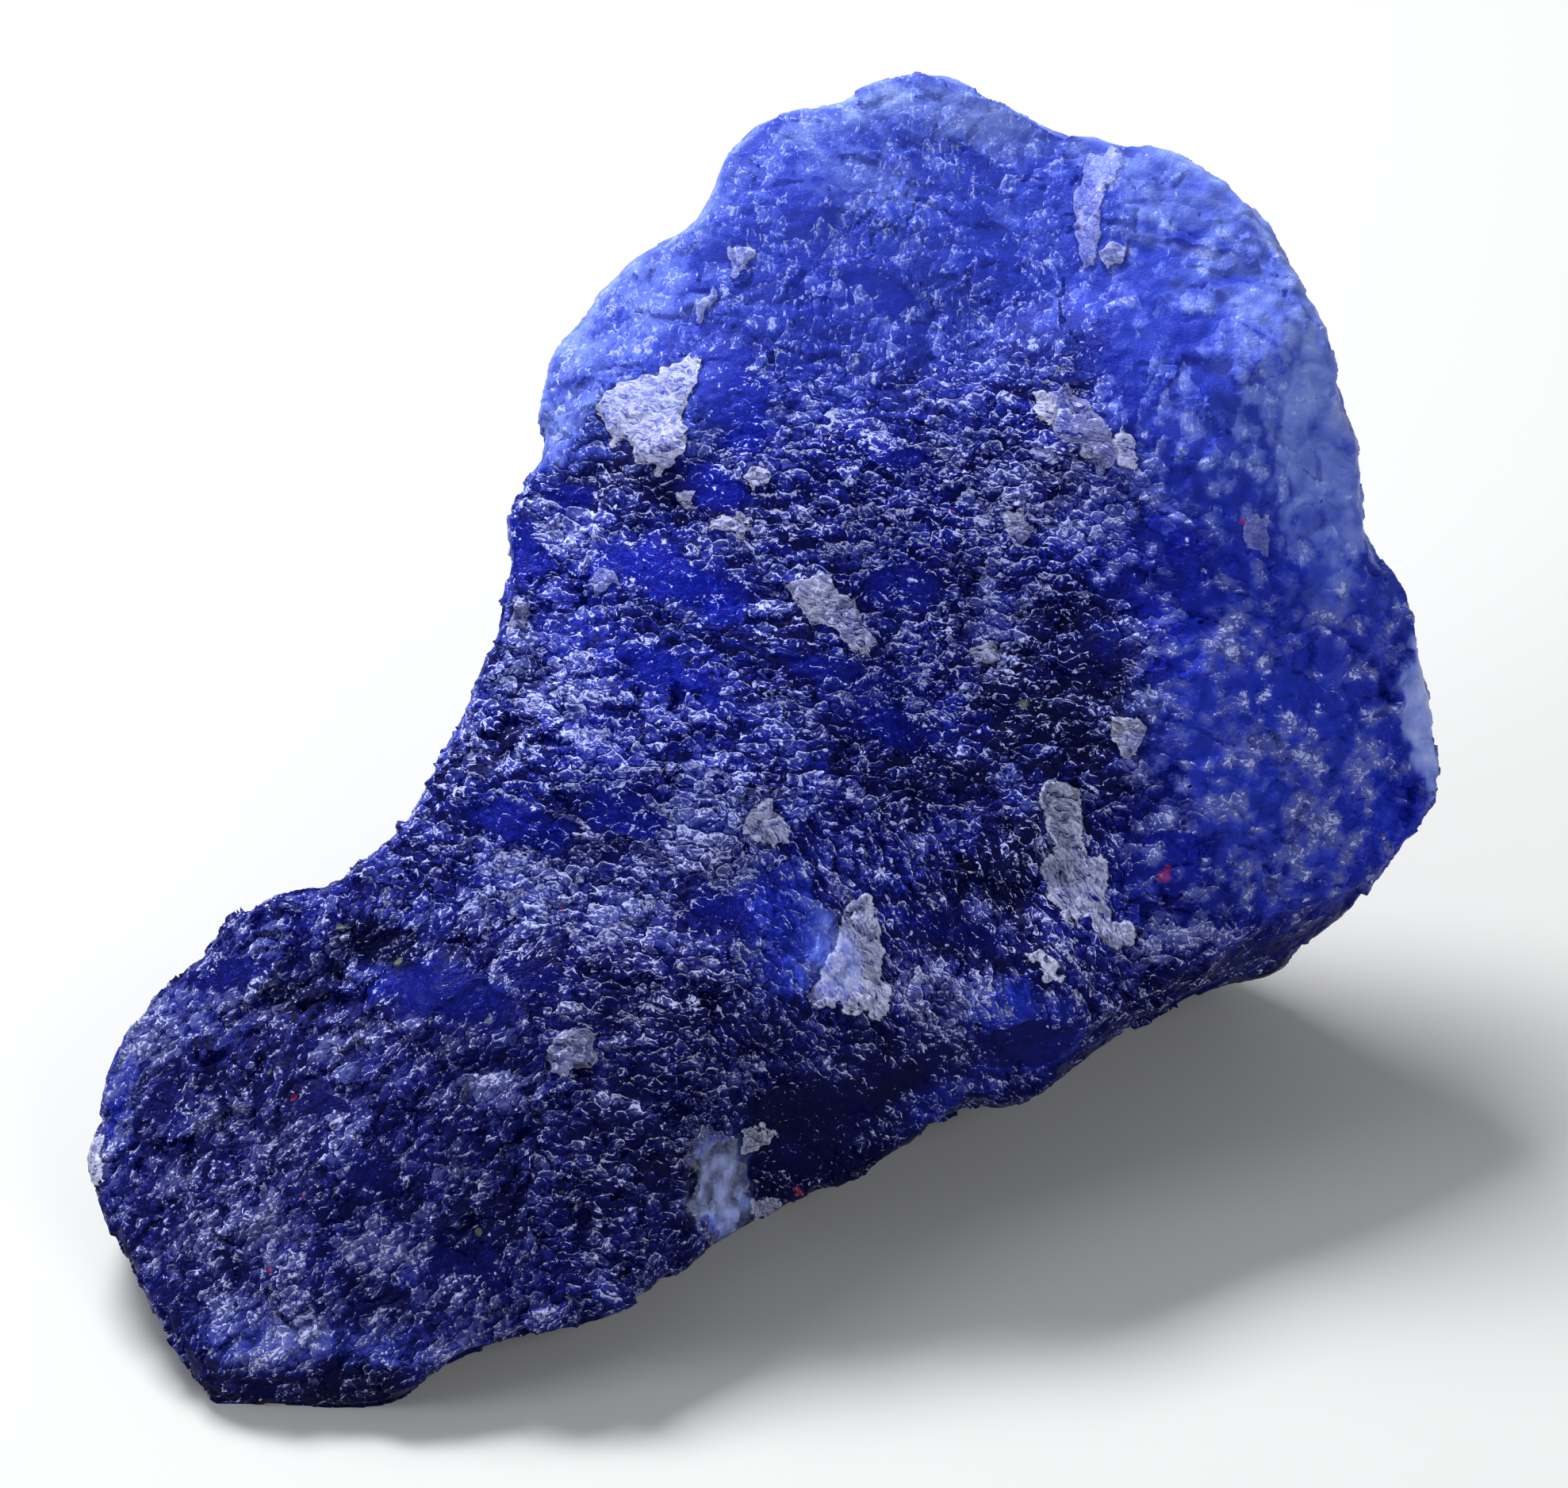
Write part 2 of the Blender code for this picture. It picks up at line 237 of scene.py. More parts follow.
# A leaf: how white it is, then its outline as points across and up, in mm.
leaves = [
    (0.74, [(-10.3, 21.6), (-8.8, 22.9), (-6.7, 23.2), (-5.7, 23.9), (-4.5, 24.4), (-3.8, 23.8), (-4.4, 22.1),
        (-5, 20.6), (-4.6, 19.5), (-5.2, 18.3), (-5.7, 17.4), (-6.5, 17), (-7.5, 17.4), (-8.4, 18.1),
        (-8.4, 18.7), (-9.3, 19.1), (-9.8, 19.9), (-10.1, 20.7)]),
    (0.62, [(17.3, -3), (18.3, -2.2), (19.4, -2.4), (20.2, -3.6), (19.9, -5.1), (20.2, -6.7), (21.6, -7.1),
        (21.6, -8.3), (21.2, -9.4), (22, -10.6), (23.2, -11.6), (23.4, -12.3), (22.3, -12.6), (21, -11.8),
        (19.9, -11), (18.6, -10.2), (17.9, -8.8), (17.7, -7.5), (18.4, -6.3), (17.9, -4.8), (17.5, -3.8)]),
    (0.60, [(5.4, -9.7), (6.4, -9.3), (7, -10), (7.6, -12.2), (7.4, -13.7), (7.9, -14.9), (8, -16),
        (7.6, -17), (6.6, -16.6), (5.4, -16.2), (4.3, -16), (3.3, -16.4), (2.9, -15.6), (3.7, -14.1),
        (4.6, -12.6), (5, -11)]),
    (0.62, [(-0.8, -4.2), (0.2, -3.4), (1.1, -4.2), (1.7, -5.9), (0.9, -6.2), (-0.2, -5.9), (-0.9, -5.1)]),
    (0.14, [(-4.6, -24.8), (-3.9, -23.9), (-2.7, -23.8), (-1.9, -24.4), (-1.4, -25.9), (-0.6, -27),
        (-0.8, -27.9), (-1.5, -28.3), (-1.8, -30.2), (-2.5, -31.2), (-3.3, -31), (-4.1, -30.1), (-4.4, -28.3),
        (-4.1, -27), (-4.6, -25.8)]),
    (0.55, [(-1.4, -24), (0.4, -23.7), (1, -24.4), (0, -25), (-1.1, -25.4)]),
    (0.45, [(-0.6, -28.3), (1.1, -28.9), (0.8, -29.5), (-0.2, -29.8), (-0.9, -29.3)]),
    (0.80, [(16.3, -12.8), (17.3, -12.8), (18.3, -13.6), (18.9, -14.6), (18.3, -14.5), (17.1, -13.7)]),
    (0.85, [(16.8, 22), (17.8, 22.5), (18, 21.8), (18.5, 20.5), (17.9, 19.7), (17.3, 20.5)]),
    (0.30, [(17.9, 22.3), (19, 22.4), (20.8, 21.5), (21.8, 19.8), (22.2, 17.5), (21.2, 17), (20.2, 18.5),
        (19, 19), (18.3, 19.5), (18.5, 20.6)]),
    (0.60, [(22, 19), (22.7, 19.9), (23.3, 19), (23.6, 17.7), (23, 17.4), (22.3, 18.1)]),
    (0.34, [(20.1, 35.2), (20.9, 37.4), (22.9, 37.5), (23, 36.8), (21.8, 35.5), (21.6, 33.8), (21.3, 31.8),
        (21, 30.5), (20.3, 30.3), (20.1, 31.5), (20, 33.2)]),
    (0.50, [(21.5, 31.4), (22.1, 31.8), (22.8, 31.3), (22.6, 30.4), (22, 30.1), (21.6, 30.6)]),
    (0.34, [(-1.8, 31.5), (-1.3, 31.6), (-1.1, 31.3), (-0.4, 31.1), (-0.3, 30.7), (-1.1, 30.1), (-1.6, 29.5),
        (-1.9, 30.2)]),
    (0.36, [(-4.3, 26.6), (-4, 27.5), (-3.3, 28.6), (-3.1, 28.1), (-3.6, 26.9), (-4.1, 26.5)]),
    (0.66, [(-1, 17), (-0.2, 17.2), (0.5, 16.8), (0.3, 16.2), (-0.5, 16.2)]),
    (0.52, [(-3.1, 13.9), (-2.4, 14.4), (-1.5, 14.3), (-0.8, 14), (-0.7, 13.5), (-1.4, 13.2), (-2.8, 13.5)]),
    (0.56, [(-5.3, 15.6), (-4.7, 16.1), (-4.1, 15.8), (-4.3, 15.3), (-4.9, 15.2)]),
    (0.30, [(-10.8, 10.5), (-10, 10.9), (-9.1, 10.9), (-8.7, 10.2), (-9.5, 10.1), (-9.9, 9.6), (-10.5, 9.9)]),
    (0.34, [(-16, 7.5), (-15.6, 8.8), (-15.2, 9.4), (-14.7, 9.2), (-14.5, 8.2), (-15.2, 7.6), (-15.8, 7)]),
    (0.50, [(1.5, 10), (4, 10.5), (5.9, 9.1), (7, 6.5), (6.2, 5.4), (4.6, 7), (2.6, 8.2)]),
    (0.30, [(-13.1, -18.9), (-12.7, -17.9), (-11.4, -17.5), (-10.2, -17.9), (-9.9, -19.3), (-10.8, -20.2),
        (-11.9, -20.4), (-12.9, -20.1)]),
    (0.70, [(-42.6, -24.6), (-41.6, -24.4), (-41.4, -26), (-41.8, -27.6), (-42.4, -27.4)]),
    (0.45, [(21.8, 1.6), (23, 1.8), (24, 0.8), (23.6, -0.4), (22.4, -0.6), (21.8, 0.4)]),
    (0.25, [(30.4, 14.4), (31.6, 14.6), (32, 13), (31.4, 11.6), (30.4, 12.4)]),
    (0.40, [(15.2, 14.6), (16.4, 14.8), (17, 13.6), (16.2, 12.2), (15.4, 13.2)]),
    (0.40, [(13.2, 6.4), (14.6, 6.2), (14.8, 5.2), (13.4, 5.4)]),
]

# A patch: centre across and up, half width, half height, lean in degrees, strength.
patches = {
    "smoke": [  # bluish grey places full of fine breaks, and pale rounded lumps
        (32.1, 6.9, 0.6, 0.9, 0, 0.8), (29.9, 5.7, 1.1, 0.7, 0, 0.9), (29, 8.5, 1.2, 0.7, 0, 0.8),
        (36, 7.6, 0.8, 0.6, 0, 0.7), (24.6, -1.8, 1.7, 1.4, -30, 0.9), (29.6, 0.8, 1.5, 0.9, 0, 0.8),
        (32.2, -0.4, 1.5, 1, 20, 0.7), (34.9, -0.4, 1.1, 1, 0, 0.7), (35.2, -5.4, 2.1, 1.4, 20, 0.8),
        (32.5, -9.5, 1.5, 1, 0, 0.7), (29.9, -4.2, 1.1, 0.9, 0, 0.7), (38.7, 0.5, 0.8, 1.4, 0, 0.7),
        (25.6, -11.4, 4.4, 1.7, 36, 0.9), (4.4, -12.8, 1.8, 3.4, 20, 0.7), (10.6, -15, 3.2, 2.6, -10, 0.9),
        (-3, -5, 4.4, 3, -20, 0.8), (-12.6, -8.6, 5.6, 3.4, -12, 0.8), (-37.4, -17.6, 8, 2.4, 42, 1),
        (-41, -24, 1.6, 5, 4, 0.8), (-23, -31, 2.4, 1.8, -20, 0.9), (-30, -30.2, 2.6, 2, -20, 0.8),
        (-35.2, -31.4, 2.4, 2, 0, 0.7), (-20, -25.2, 2.2, 1.5, 0, 0.7), (-30.2, -36.6, 4, 2, -20, 0.8),
        (-17.4, -36.2, 3.4, 1.6, 10, 0.7), (-33.4, -24, 2.4, 1.3, -30, 0.7), (-16, -21.6, 2.8, 1.4, -20, 0.7),
        (-26, -19, 2.8, 1.2, 10, 0.6), (20, 15.8, 4, 3.4, 0, 0.6), (14.6, 8, 2, 4.4, 12, 0.8),
        (-13.4, 5, 2.8, 2.6, 30, 0.8), (-12.6, 13.6, 3.4, 1.5, -14, 0.8), (0, 17.6, 3.4, 1.2, 20, 0.7),
        (-38, -27, 2.2, 1.4, 0, 0.6), (5.6, 3.6, 2.6, 1.4, -20, 0.6), (-10, 0, 3, 2, -30, 0.6),
    ],
    "milk": [  # pale places along thin edges: the stone's cloudiness, with painted light shining through the thin stone
        (38.6, 8, 1.6, 3.4, 20, 0.4), (42.6, 2.6, 2, 5.2, 2, 1.6), (-12.6, 22, 2.4, 5.5, -20, 0.75),
        (3.6, -13.8, 1.8, 3, 20, 0.55), (-2.4, -27.4, 1.9, 3.2, 8, 1.4), (4.2, -12.8, 1.4, 3.2, 20, 0.8),
        (26, 2, 4, 3, 0, 0.2), (33, 0, 6, 10, 0, 0.4), (35.4, 18.5, 3.6, 9, 4, 1),
    ],
    "window": [  # smooth saturated places that the light goes into
        (3, 35, 3, 2, -10, 0.7), (5.6, 28.2, 4.4, 1.6, -8, 0.7), (-1.6, 21.6, 2.6, 3.2, 20, 1),
        (-2.8, 16, 2.6, 1.3, -20, 1), (-5.2, 10.4, 5, 1.9, -24, 1), (-12, 15.8, 1.8, 1, -10, 0.7),
        (-15, 12.6, 1.6, 2.6, 0, 0.8), (-20.2, -15.6, 4.2, 1.8, -8, 1), (11.6, -11.6, 4.4, 1.1, -14, 1),
        (16.4, -18.4, 2.8, 1.6, 10, 0.9), (9, -21, 4.6, 1.4, 24, 0.8), (-15, -5, 2.8, 1.2, -18, 0.9),
        (24.5, 24, 4, 5, 0, 0.5), (-8.6, -4, 2.6, 1.4, -20, 0.8), (-18, -32, 2.6, 1.5, -20, 0.8),
        (-27, -22, 1.8, 1, -10, 0.8), (8.6, 18, 2.2, 1, -12, 0.7), (31, 3.4, 3, 1.6, -10, 0.7),
        (36, 3.6, 2.4, 3, 0, 0.6), (34.6, -13, 3.4, 1.8, 34, 0.9), (27.4, 12, 2.4, 2, 0, 0.6),
        (-33.5, -14.2, 3, 1.1, 10, 0.8), (14.2, 33, 2.4, 1.4, -10, 0.5), (3, -23.6, 6.4, 3, 22, 1),
        (5, 4.6, 3, 1, -16, 0.8), (-6, 4.6, 3.4, 1.3, -24, 0.8), (9, 9.6, 2.4, 1.2, -20, 0.8),
        (-2.6, -10.4, 2.4, 1.2, -10, 0.8), (-13.6, -14.4, 2.6, 1, -14, 0.8), (-24.4, -26.4, 1.8, 1, -20, 0.7),
        (-37, -22.4, 1.8, 1.4, 0, 0.7), (21, 5.4, 2, 1.6, 0, 0.7), (26.6, -6.4, 2.4, 1.1, -10, 0.7),
        (32, -16.6, 8, 2.4, 32, 0.95), (8.4, 1, 2.6, 1.1, -18, 0.8),
    ],
    "glow": [  # places where light that went in elsewhere comes back out, a brighter royal blue
        (33, 4, 7, 13, 0, 0.75), (38, -3, 4, 9, 8, 0.7), (16.3, -16.4, 3.4, 1.8, 20, 0.8),
        (17.9, -19.4, 2.4, 1.2, 24, 0.7), (11.6, -22.4, 3.4, 1.6, 24, 0.7), (-20.6, -14.8, 4.2, 1.5, -4, 0.4),
        (-40.5, -22.4, 1.4, 3.4, 0, 0.7), (2, -12, 2.4, 4, 20, 0.7), (-12.6, 8, 3.6, 3, 0, 0.25),
    ],
    "night": [  # places that no light comes back from
        (18.6, 3.4, 5.2, 6, 0, 0.85), (15.2, -7, 2.6, 3.2, 10, 0.9), (10, -2, 6, 2.2, -10, 0.6),
        (3, -24.4, 7.6, 4.2, 22, 1), (12.4, -20.4, 8, 2.4, 24, 0.6), (-24, -12.4, 3, 1.3, -14, 1),
        (-29, -15.4, 3.2, 1.1, 14, 1), (-28.5, -40.5, 7.5, 1.9, 0, 0.95), (11.6, -12, 4.6, 1.6, -12, 0.8),
        (-9.6, -25, 4.6, 5.6, 0, 0.6), (-16, -26, 6, 5, 0, 0.4), (33, -16.4, 8, 2.6, 32, 0.6),
        (5, 2.6, 5, 3, -10, 0.4), (-33, -26, 9, 8, 0, 0.25), (-6, -16, 8, 3, -10, 0.45),
        (-22, -34.6, 4, 1.6, -10, 0.7), (-27, -27.6, 3, 1.4, -20, 0.5), (-8, 18, 3.4, 1.6, -30, 0.4),
    ],
    "sparkle": [  # dense pale chips with painted highlights
        (8, 15.6, 8, 5, -8, 0.9), (14.6, 12, 4, 4, 0, 0.9), (-2, 13.2, 6, 2.4, -12, 0.7),
        (-12.5, 1, 5.6, 4.4, -30, 0.8), (-3, -4, 4.6, 3, -20, 0.9), (-13.6, -10.6, 6, 4.6, -10, 0.9),
        (-5, -17.4, 4.6, 3.4, -20, 0.9), (11.6, -15.6, 4, 2.6, -20, 0.9), (20, -10, 5, 4.6, -20, 0.9),
        (29, -1, 6, 9, 0, 0.2), (-27, -31, 9, 6, -14, 0.3), (13, 4, 5, 4, -20, 0.7), (16, 20, 6, 3, -10, 0.6),
        (-14, 13.6, 3.6, 2.4, -20, 0.6),
    ],
}

# How far a patch's outline wanders, and the reach at which it starts to fade and ends.
patchEdges = {
    "milk": (0.8, 0.8, 1.25),
    "smoke": (1.0, 0.55, 1.4),
    "window": (0.9, 0.6, 1.35),
    "night": (1.1, 0.6, 1.35),
    "sparkle": (1.0, 0.5, 1.4),
    "glow": (1.1, 0.4, 1.5),
}

# Grains of another colour, where the stone holds a little iron or epidote: across, up, radius in mm.
specks = {
    "rust": [
        (25.2, -8.2, 0.62), (25.5, -7.7, 0.4), (2.3, -28, 0.4), (30.8, -7.8, 0.26), (30.1, 14.1, 0.3),
        (-12.4, -10, 0.24), (12, 14.6, 0.26), (-29, -21.8, 0.34), (-30.5, -32.4, 0.3), (23.5, -11.8, 0.3),
        (-28.2, -27.8, 0.2),
    ],
    "moss": [
        (-26.4, -11.2, 0.4), (-16.8, -17, 0.42), (-30.5, -20.3, 0.34), (-17.4, -30, 0.36),
        (-30.3, -33.3, 0.26), (16.4, 2.6, 0.5), (-22.6, -13.4, 0.5),
    ],
}


def patchField(name, across, up, ragged):
    wobble, *edge = patchEdges[name]
    field = np.zeros(len(across))
    for centreAcross, centreUp, halfWidth, halfHeight, leanDegrees, strength in patches[name]:
        turn = math.radians(leanDegrees)
        dx, dy = across - centreAcross, up - centreUp
        along = (dx * math.cos(turn) + dy * math.sin(turn)) / halfWidth
        beside = (dy * math.cos(turn) - dx * math.sin(turn)) / halfHeight
        reach = np.hypot(along, beside) + wobble * ragged
        field = np.maximum(field, strength * (1 - softStep(*edge, reach)))
    return field


def leafFields(across, up):
    # 0.5 on an outline and 1 at 1 mm inside it, with the whiteness of the leaf that is nearest
    edge, whiteness = np.zeros(len(across)), np.zeros(len(across))
    for white, outline in leaves:
        corners = np.array(outline)
        low, high = corners.min(axis=0) - 1, corners.max(axis=0) + 1
        near = np.flatnonzero((across > low[0]) & (across < high[0]) & (up > low[1]) & (up < high[1]))
        x, y = across[near], up[near]
        distance, inside = np.full(len(near), 9.0), np.zeros(len(near), bool)
        for (x0, y0), (x1, y1) in zip(corners, np.roll(corners, -1, axis=0)):
            dx, dy = x1 - x0, y1 - y0
            along = np.clip(((x - x0) * dx + (y - y0) * dy) / (dx * dx + dy * dy), 0, 1)
            distance = np.minimum(distance, np.hypot(x - x0 - along * dx, y - y0 - along * dy))
            inside ^= ((y0 > y) != (y1 > y)) & (x < dx * (y - y0) / (dy or 1e-9) + x0)
        field = np.clip(0.5 + 0.5 * np.where(inside, distance, -distance), 0, 1)
        nearest = field > edge[near]
        edge[near[nearest]] = field[nearest]
        whiteness[near[nearest]] = white
    return edge, whiteness


def speckField(name, across, up):
    field = np.zeros(len(across))
    for centreAcross, centreUp, radius in specks[name]:
        reach = np.hypot(across - centreAcross, up - centreUp) / (0.8 * radius)
        field = np.maximum(field, 1 - softStep(0.6, 1.15, reach))
    return field


skin = {
    "noiseSizes": (8.0, 3.2, 1.3, 0.6),  # mm, from broad to tiny
    "probeStart": 0.8,  # mm under the surface, where the measure of the stone's thickness starts
    "probeDepth": 60,  # mm, where it gives up
    "thinStone": (2, 9),  # mm thick, from pale (the stone's cloudiness with painted light shining through) to not pale
    "looseWhite": 0.42,  # whiteness of the leaves behind
}

# The pale crown (the stone's cloudiness and painted light shining through the thin stone) ends along a line
# across the face: sharp at the left, soft at the right.
crown = {
    "line": (
        (-15, -10, -6.5, -3, 0, 5, 10, 17, 20, 24, 30, 38),  # across, mm
        (18.2, 18.2, 17, 18.5, 20, 19, 19.5, 21, 20, 14, 11, 8),  # up, mm
    ),
    "edgeWidth": ((-15, -3, 2, 20, 26), (0.6, 0.9, 4, 5, 7)),  # across, mm that the edge takes
    "milkAndBacklightAtLine": ((-15, -8, -3, 0, 20, 26, 36), (0.5, 0.4, 0.24, 0.13, 0.10, 0.12, 0.3)),
    "milkAndBacklightPerMm": 0.026,
}


def stoneFields(points, normals, solidTree):
    across, up = toLayout(points)
    facing = normals @ np.array(outAxis)
    front = softStep(-0.2, 0.2, facing)
    inMm = points / mm
    broad, middle, small, tiny = (
        noiseField(inMm, size, seed) for seed, size in enumerate(skin["noiseSizes"], 1)
    )
    ragged = 0.5 * middle + 0.5 * small + 0.14 * tiny
    deepest = skin["probeDepth"] * mm
    inward = [Vector(n) for n in -normals]
    reach = [
        solidTree.ray_cast(Vector(p) + skin["probeStart"] * mm * n, n, deepest)[3] or deepest
        for p, n in zip(points, inward)
    ]
    thickness = np.array(reach) / mm
    thin = 1 - softStep(*skin["thinStone"], thickness + 2.0 * broad)
    aboveLine = up + 1.5 * ragged - np.interp(across, *crown["line"])
    sharpness = np.interp(across, *crown["edgeWidth"])
    crownMilkAndBacklight = np.interp(across, *crown["milkAndBacklightAtLine"]) + crown["milkAndBacklightPerMm"] * np.maximum(aboveLine, 0)
    crownMilkAndBacklight *= np.clip(aboveLine / sharpness + 0.5, 0, 1)
    behind = 1 - front
    field = {}
    # pale where the stone is thin and in the crown: the stone's cloudiness with painted light shining through
    field["milk"] = np.clip(0.3 * thin + crownMilkAndBacklight + 0.06 * middle, 0, 1)
    field["leaf"], field["white"] = leafFields(across + 0.5 * small, up + 0.5 * tiny + 0.3 * small)
    field["leaf"] *= front
    for name in patches:
        field[name] = np.maximum(field.get(name, 0), front * patchField(name, across, up, ragged))
    for name in specks:
        field[name] = front * speckField(name, across, up)
    # behind and underneath, the same crystal goes on
    underneath = softStep(0.05, 0.6, -normals[:, 2])
    hidden = softStep(0.1, 0.45, broad + 0.6 * middle + 0.5 * small)
    looseLeaf = behind * np.clip(0.5 + 2.2 * (middle + 0.55 * small + 0.2 * tiny - 0.54), 0, 1)
    field["white"] = np.where(looseLeaf > field["leaf"], skin["looseWhite"], field["white"])
    unplanned = {
        "leaf": looseLeaf,
        "window": np.maximum(behind * hidden, 0.85 * underneath * softStep(-0.3, 0.1, middle)),
        "smoke": behind * softStep(-0.1, -0.4, middle),
        "sparkle": 0.8 * behind * softStep(0.05, -0.3, broad),
    }
    for name, amount in unplanned.items():
        field[name] = np.maximum(field[name], amount)
    # painted shade: darker on the underside, less so where the stone is thin
    field["night"] = np.clip(field["night"] + 0.45 * underneath * (1 - 0.7 * thin), 0, 1)
    # low down on the face the colours turn darker and greyer: the darkening is painted shade
    lowness = softStep(2, -20, up + 3 * broad + 2 * middle)
    field["low"] = lowness
    crownCalm = softStep(-2, 9, aboveLine + 2.5 * middle)
    # painted light shining through the thin rim, where the surface turns side-on to the face
    rim = softStep(0.75, 0.25, np.abs(facing)) * softStep(-12, 6, up)
    field["milk"] = np.maximum(field["milk"], np.clip(field["milk"] + 0.32 * rim, 0, 1))
    field["calm"] = np.maximum(crownCalm, softStep(0.5, 0.9, front * patchField("milk", across, up, 0)))
    field["grit"] = np.clip((1 - 0.75 * field["calm"]) * (1 - 0.9 * field["window"]), 0.03, 1)
    field["grit"] *= 1 - 0.5 * softStep(0.45, 0.6, field["leaf"])
    openness = softStep(0.1, 0.55, np.abs(facing))
    field["worn"] = 0.3 * (1 - openness)
    field["bead"] = front * softStep(19, 27, across + 3 * middle) * softStep(-16, -8, up)
    field["loose"] = (0.12 + 0.88 * field["bead"]) * (1 - field["calm"]) * (1 - field["window"])
    field["loose"] *= 0.1 + 0.9 * openness
    field["loose"] *= np.where(field["leaf"] > 0.4, 0.1, 1)
    field["loose"] *= inMm[:, 2] > 0.9
    rising = (across + 4 * middle < -13) & (up + 4 * small < -9)
    steep = (np.abs(across + 4 * middle - 11) < 13) & (up + 4 * small < -5)
    field["flow"] = np.where(rising, -1.0, np.where(steep, 1.0, 0.0))
    field["standing"] = ((points[:, 2] < 0.3 * mm) & (normals[:, 2] < -0.75)).astype(float)
    return field


def storeFields(mesh, field):
    for name, values in field.items():
        layer = mesh.attributes.new(name, "FLOAT", "POINT")
        layer.data.foreach_set("value", values.astype(np.float32))


# Relief: facets of broken crystals, each leaning its own way

relief = {
    "inputs": {  # sizes and rises in mm
        "Facet Size": 5.0,
        "Facet Lean": 0.24,
        "Chip Size": 2.1,
        "Chip Lean": 0.40,
        "Grain Size": 0.95,
        "Grain Lean": 0.24,
        "Outline Warp": 2.7,  # how far the facets' outlines wander
        "Hackle Size": 0.55,
        "Hackle Rise": 0.05,
        "Flake Rise": 0.24,  # how far a whitish leaf stands proud
        "Wrinkle Size": 0.8,
        "Wrinkle Rise": -0.32,  # the wrinkles on a leaf go down
        "Bead Size": 1.2,  # rounded lumps at the right
        "Bead Rise": 0.28,
        "Grain Slant": layout["grainSlant"],
        "Flow Turn": layout["flowTurn"],
    },
    "calmShare": {"Facet": 0.4, "Chip": 0.2, "Grain": 0.4},  # share of the lean left on calm places
    "driftSize": 2.0,  # mm over which the facets' outlines wander
    "stretch": (0.6, 1.15, 1.15),  # facets are longer along the grain
    "foldStretch": (1.7, 0.6, 1.0),  # and wrinkles across it
    "light": (-0.35, 0.9, 0.25),  # towards the light, along the grain, up the face and out of it
}


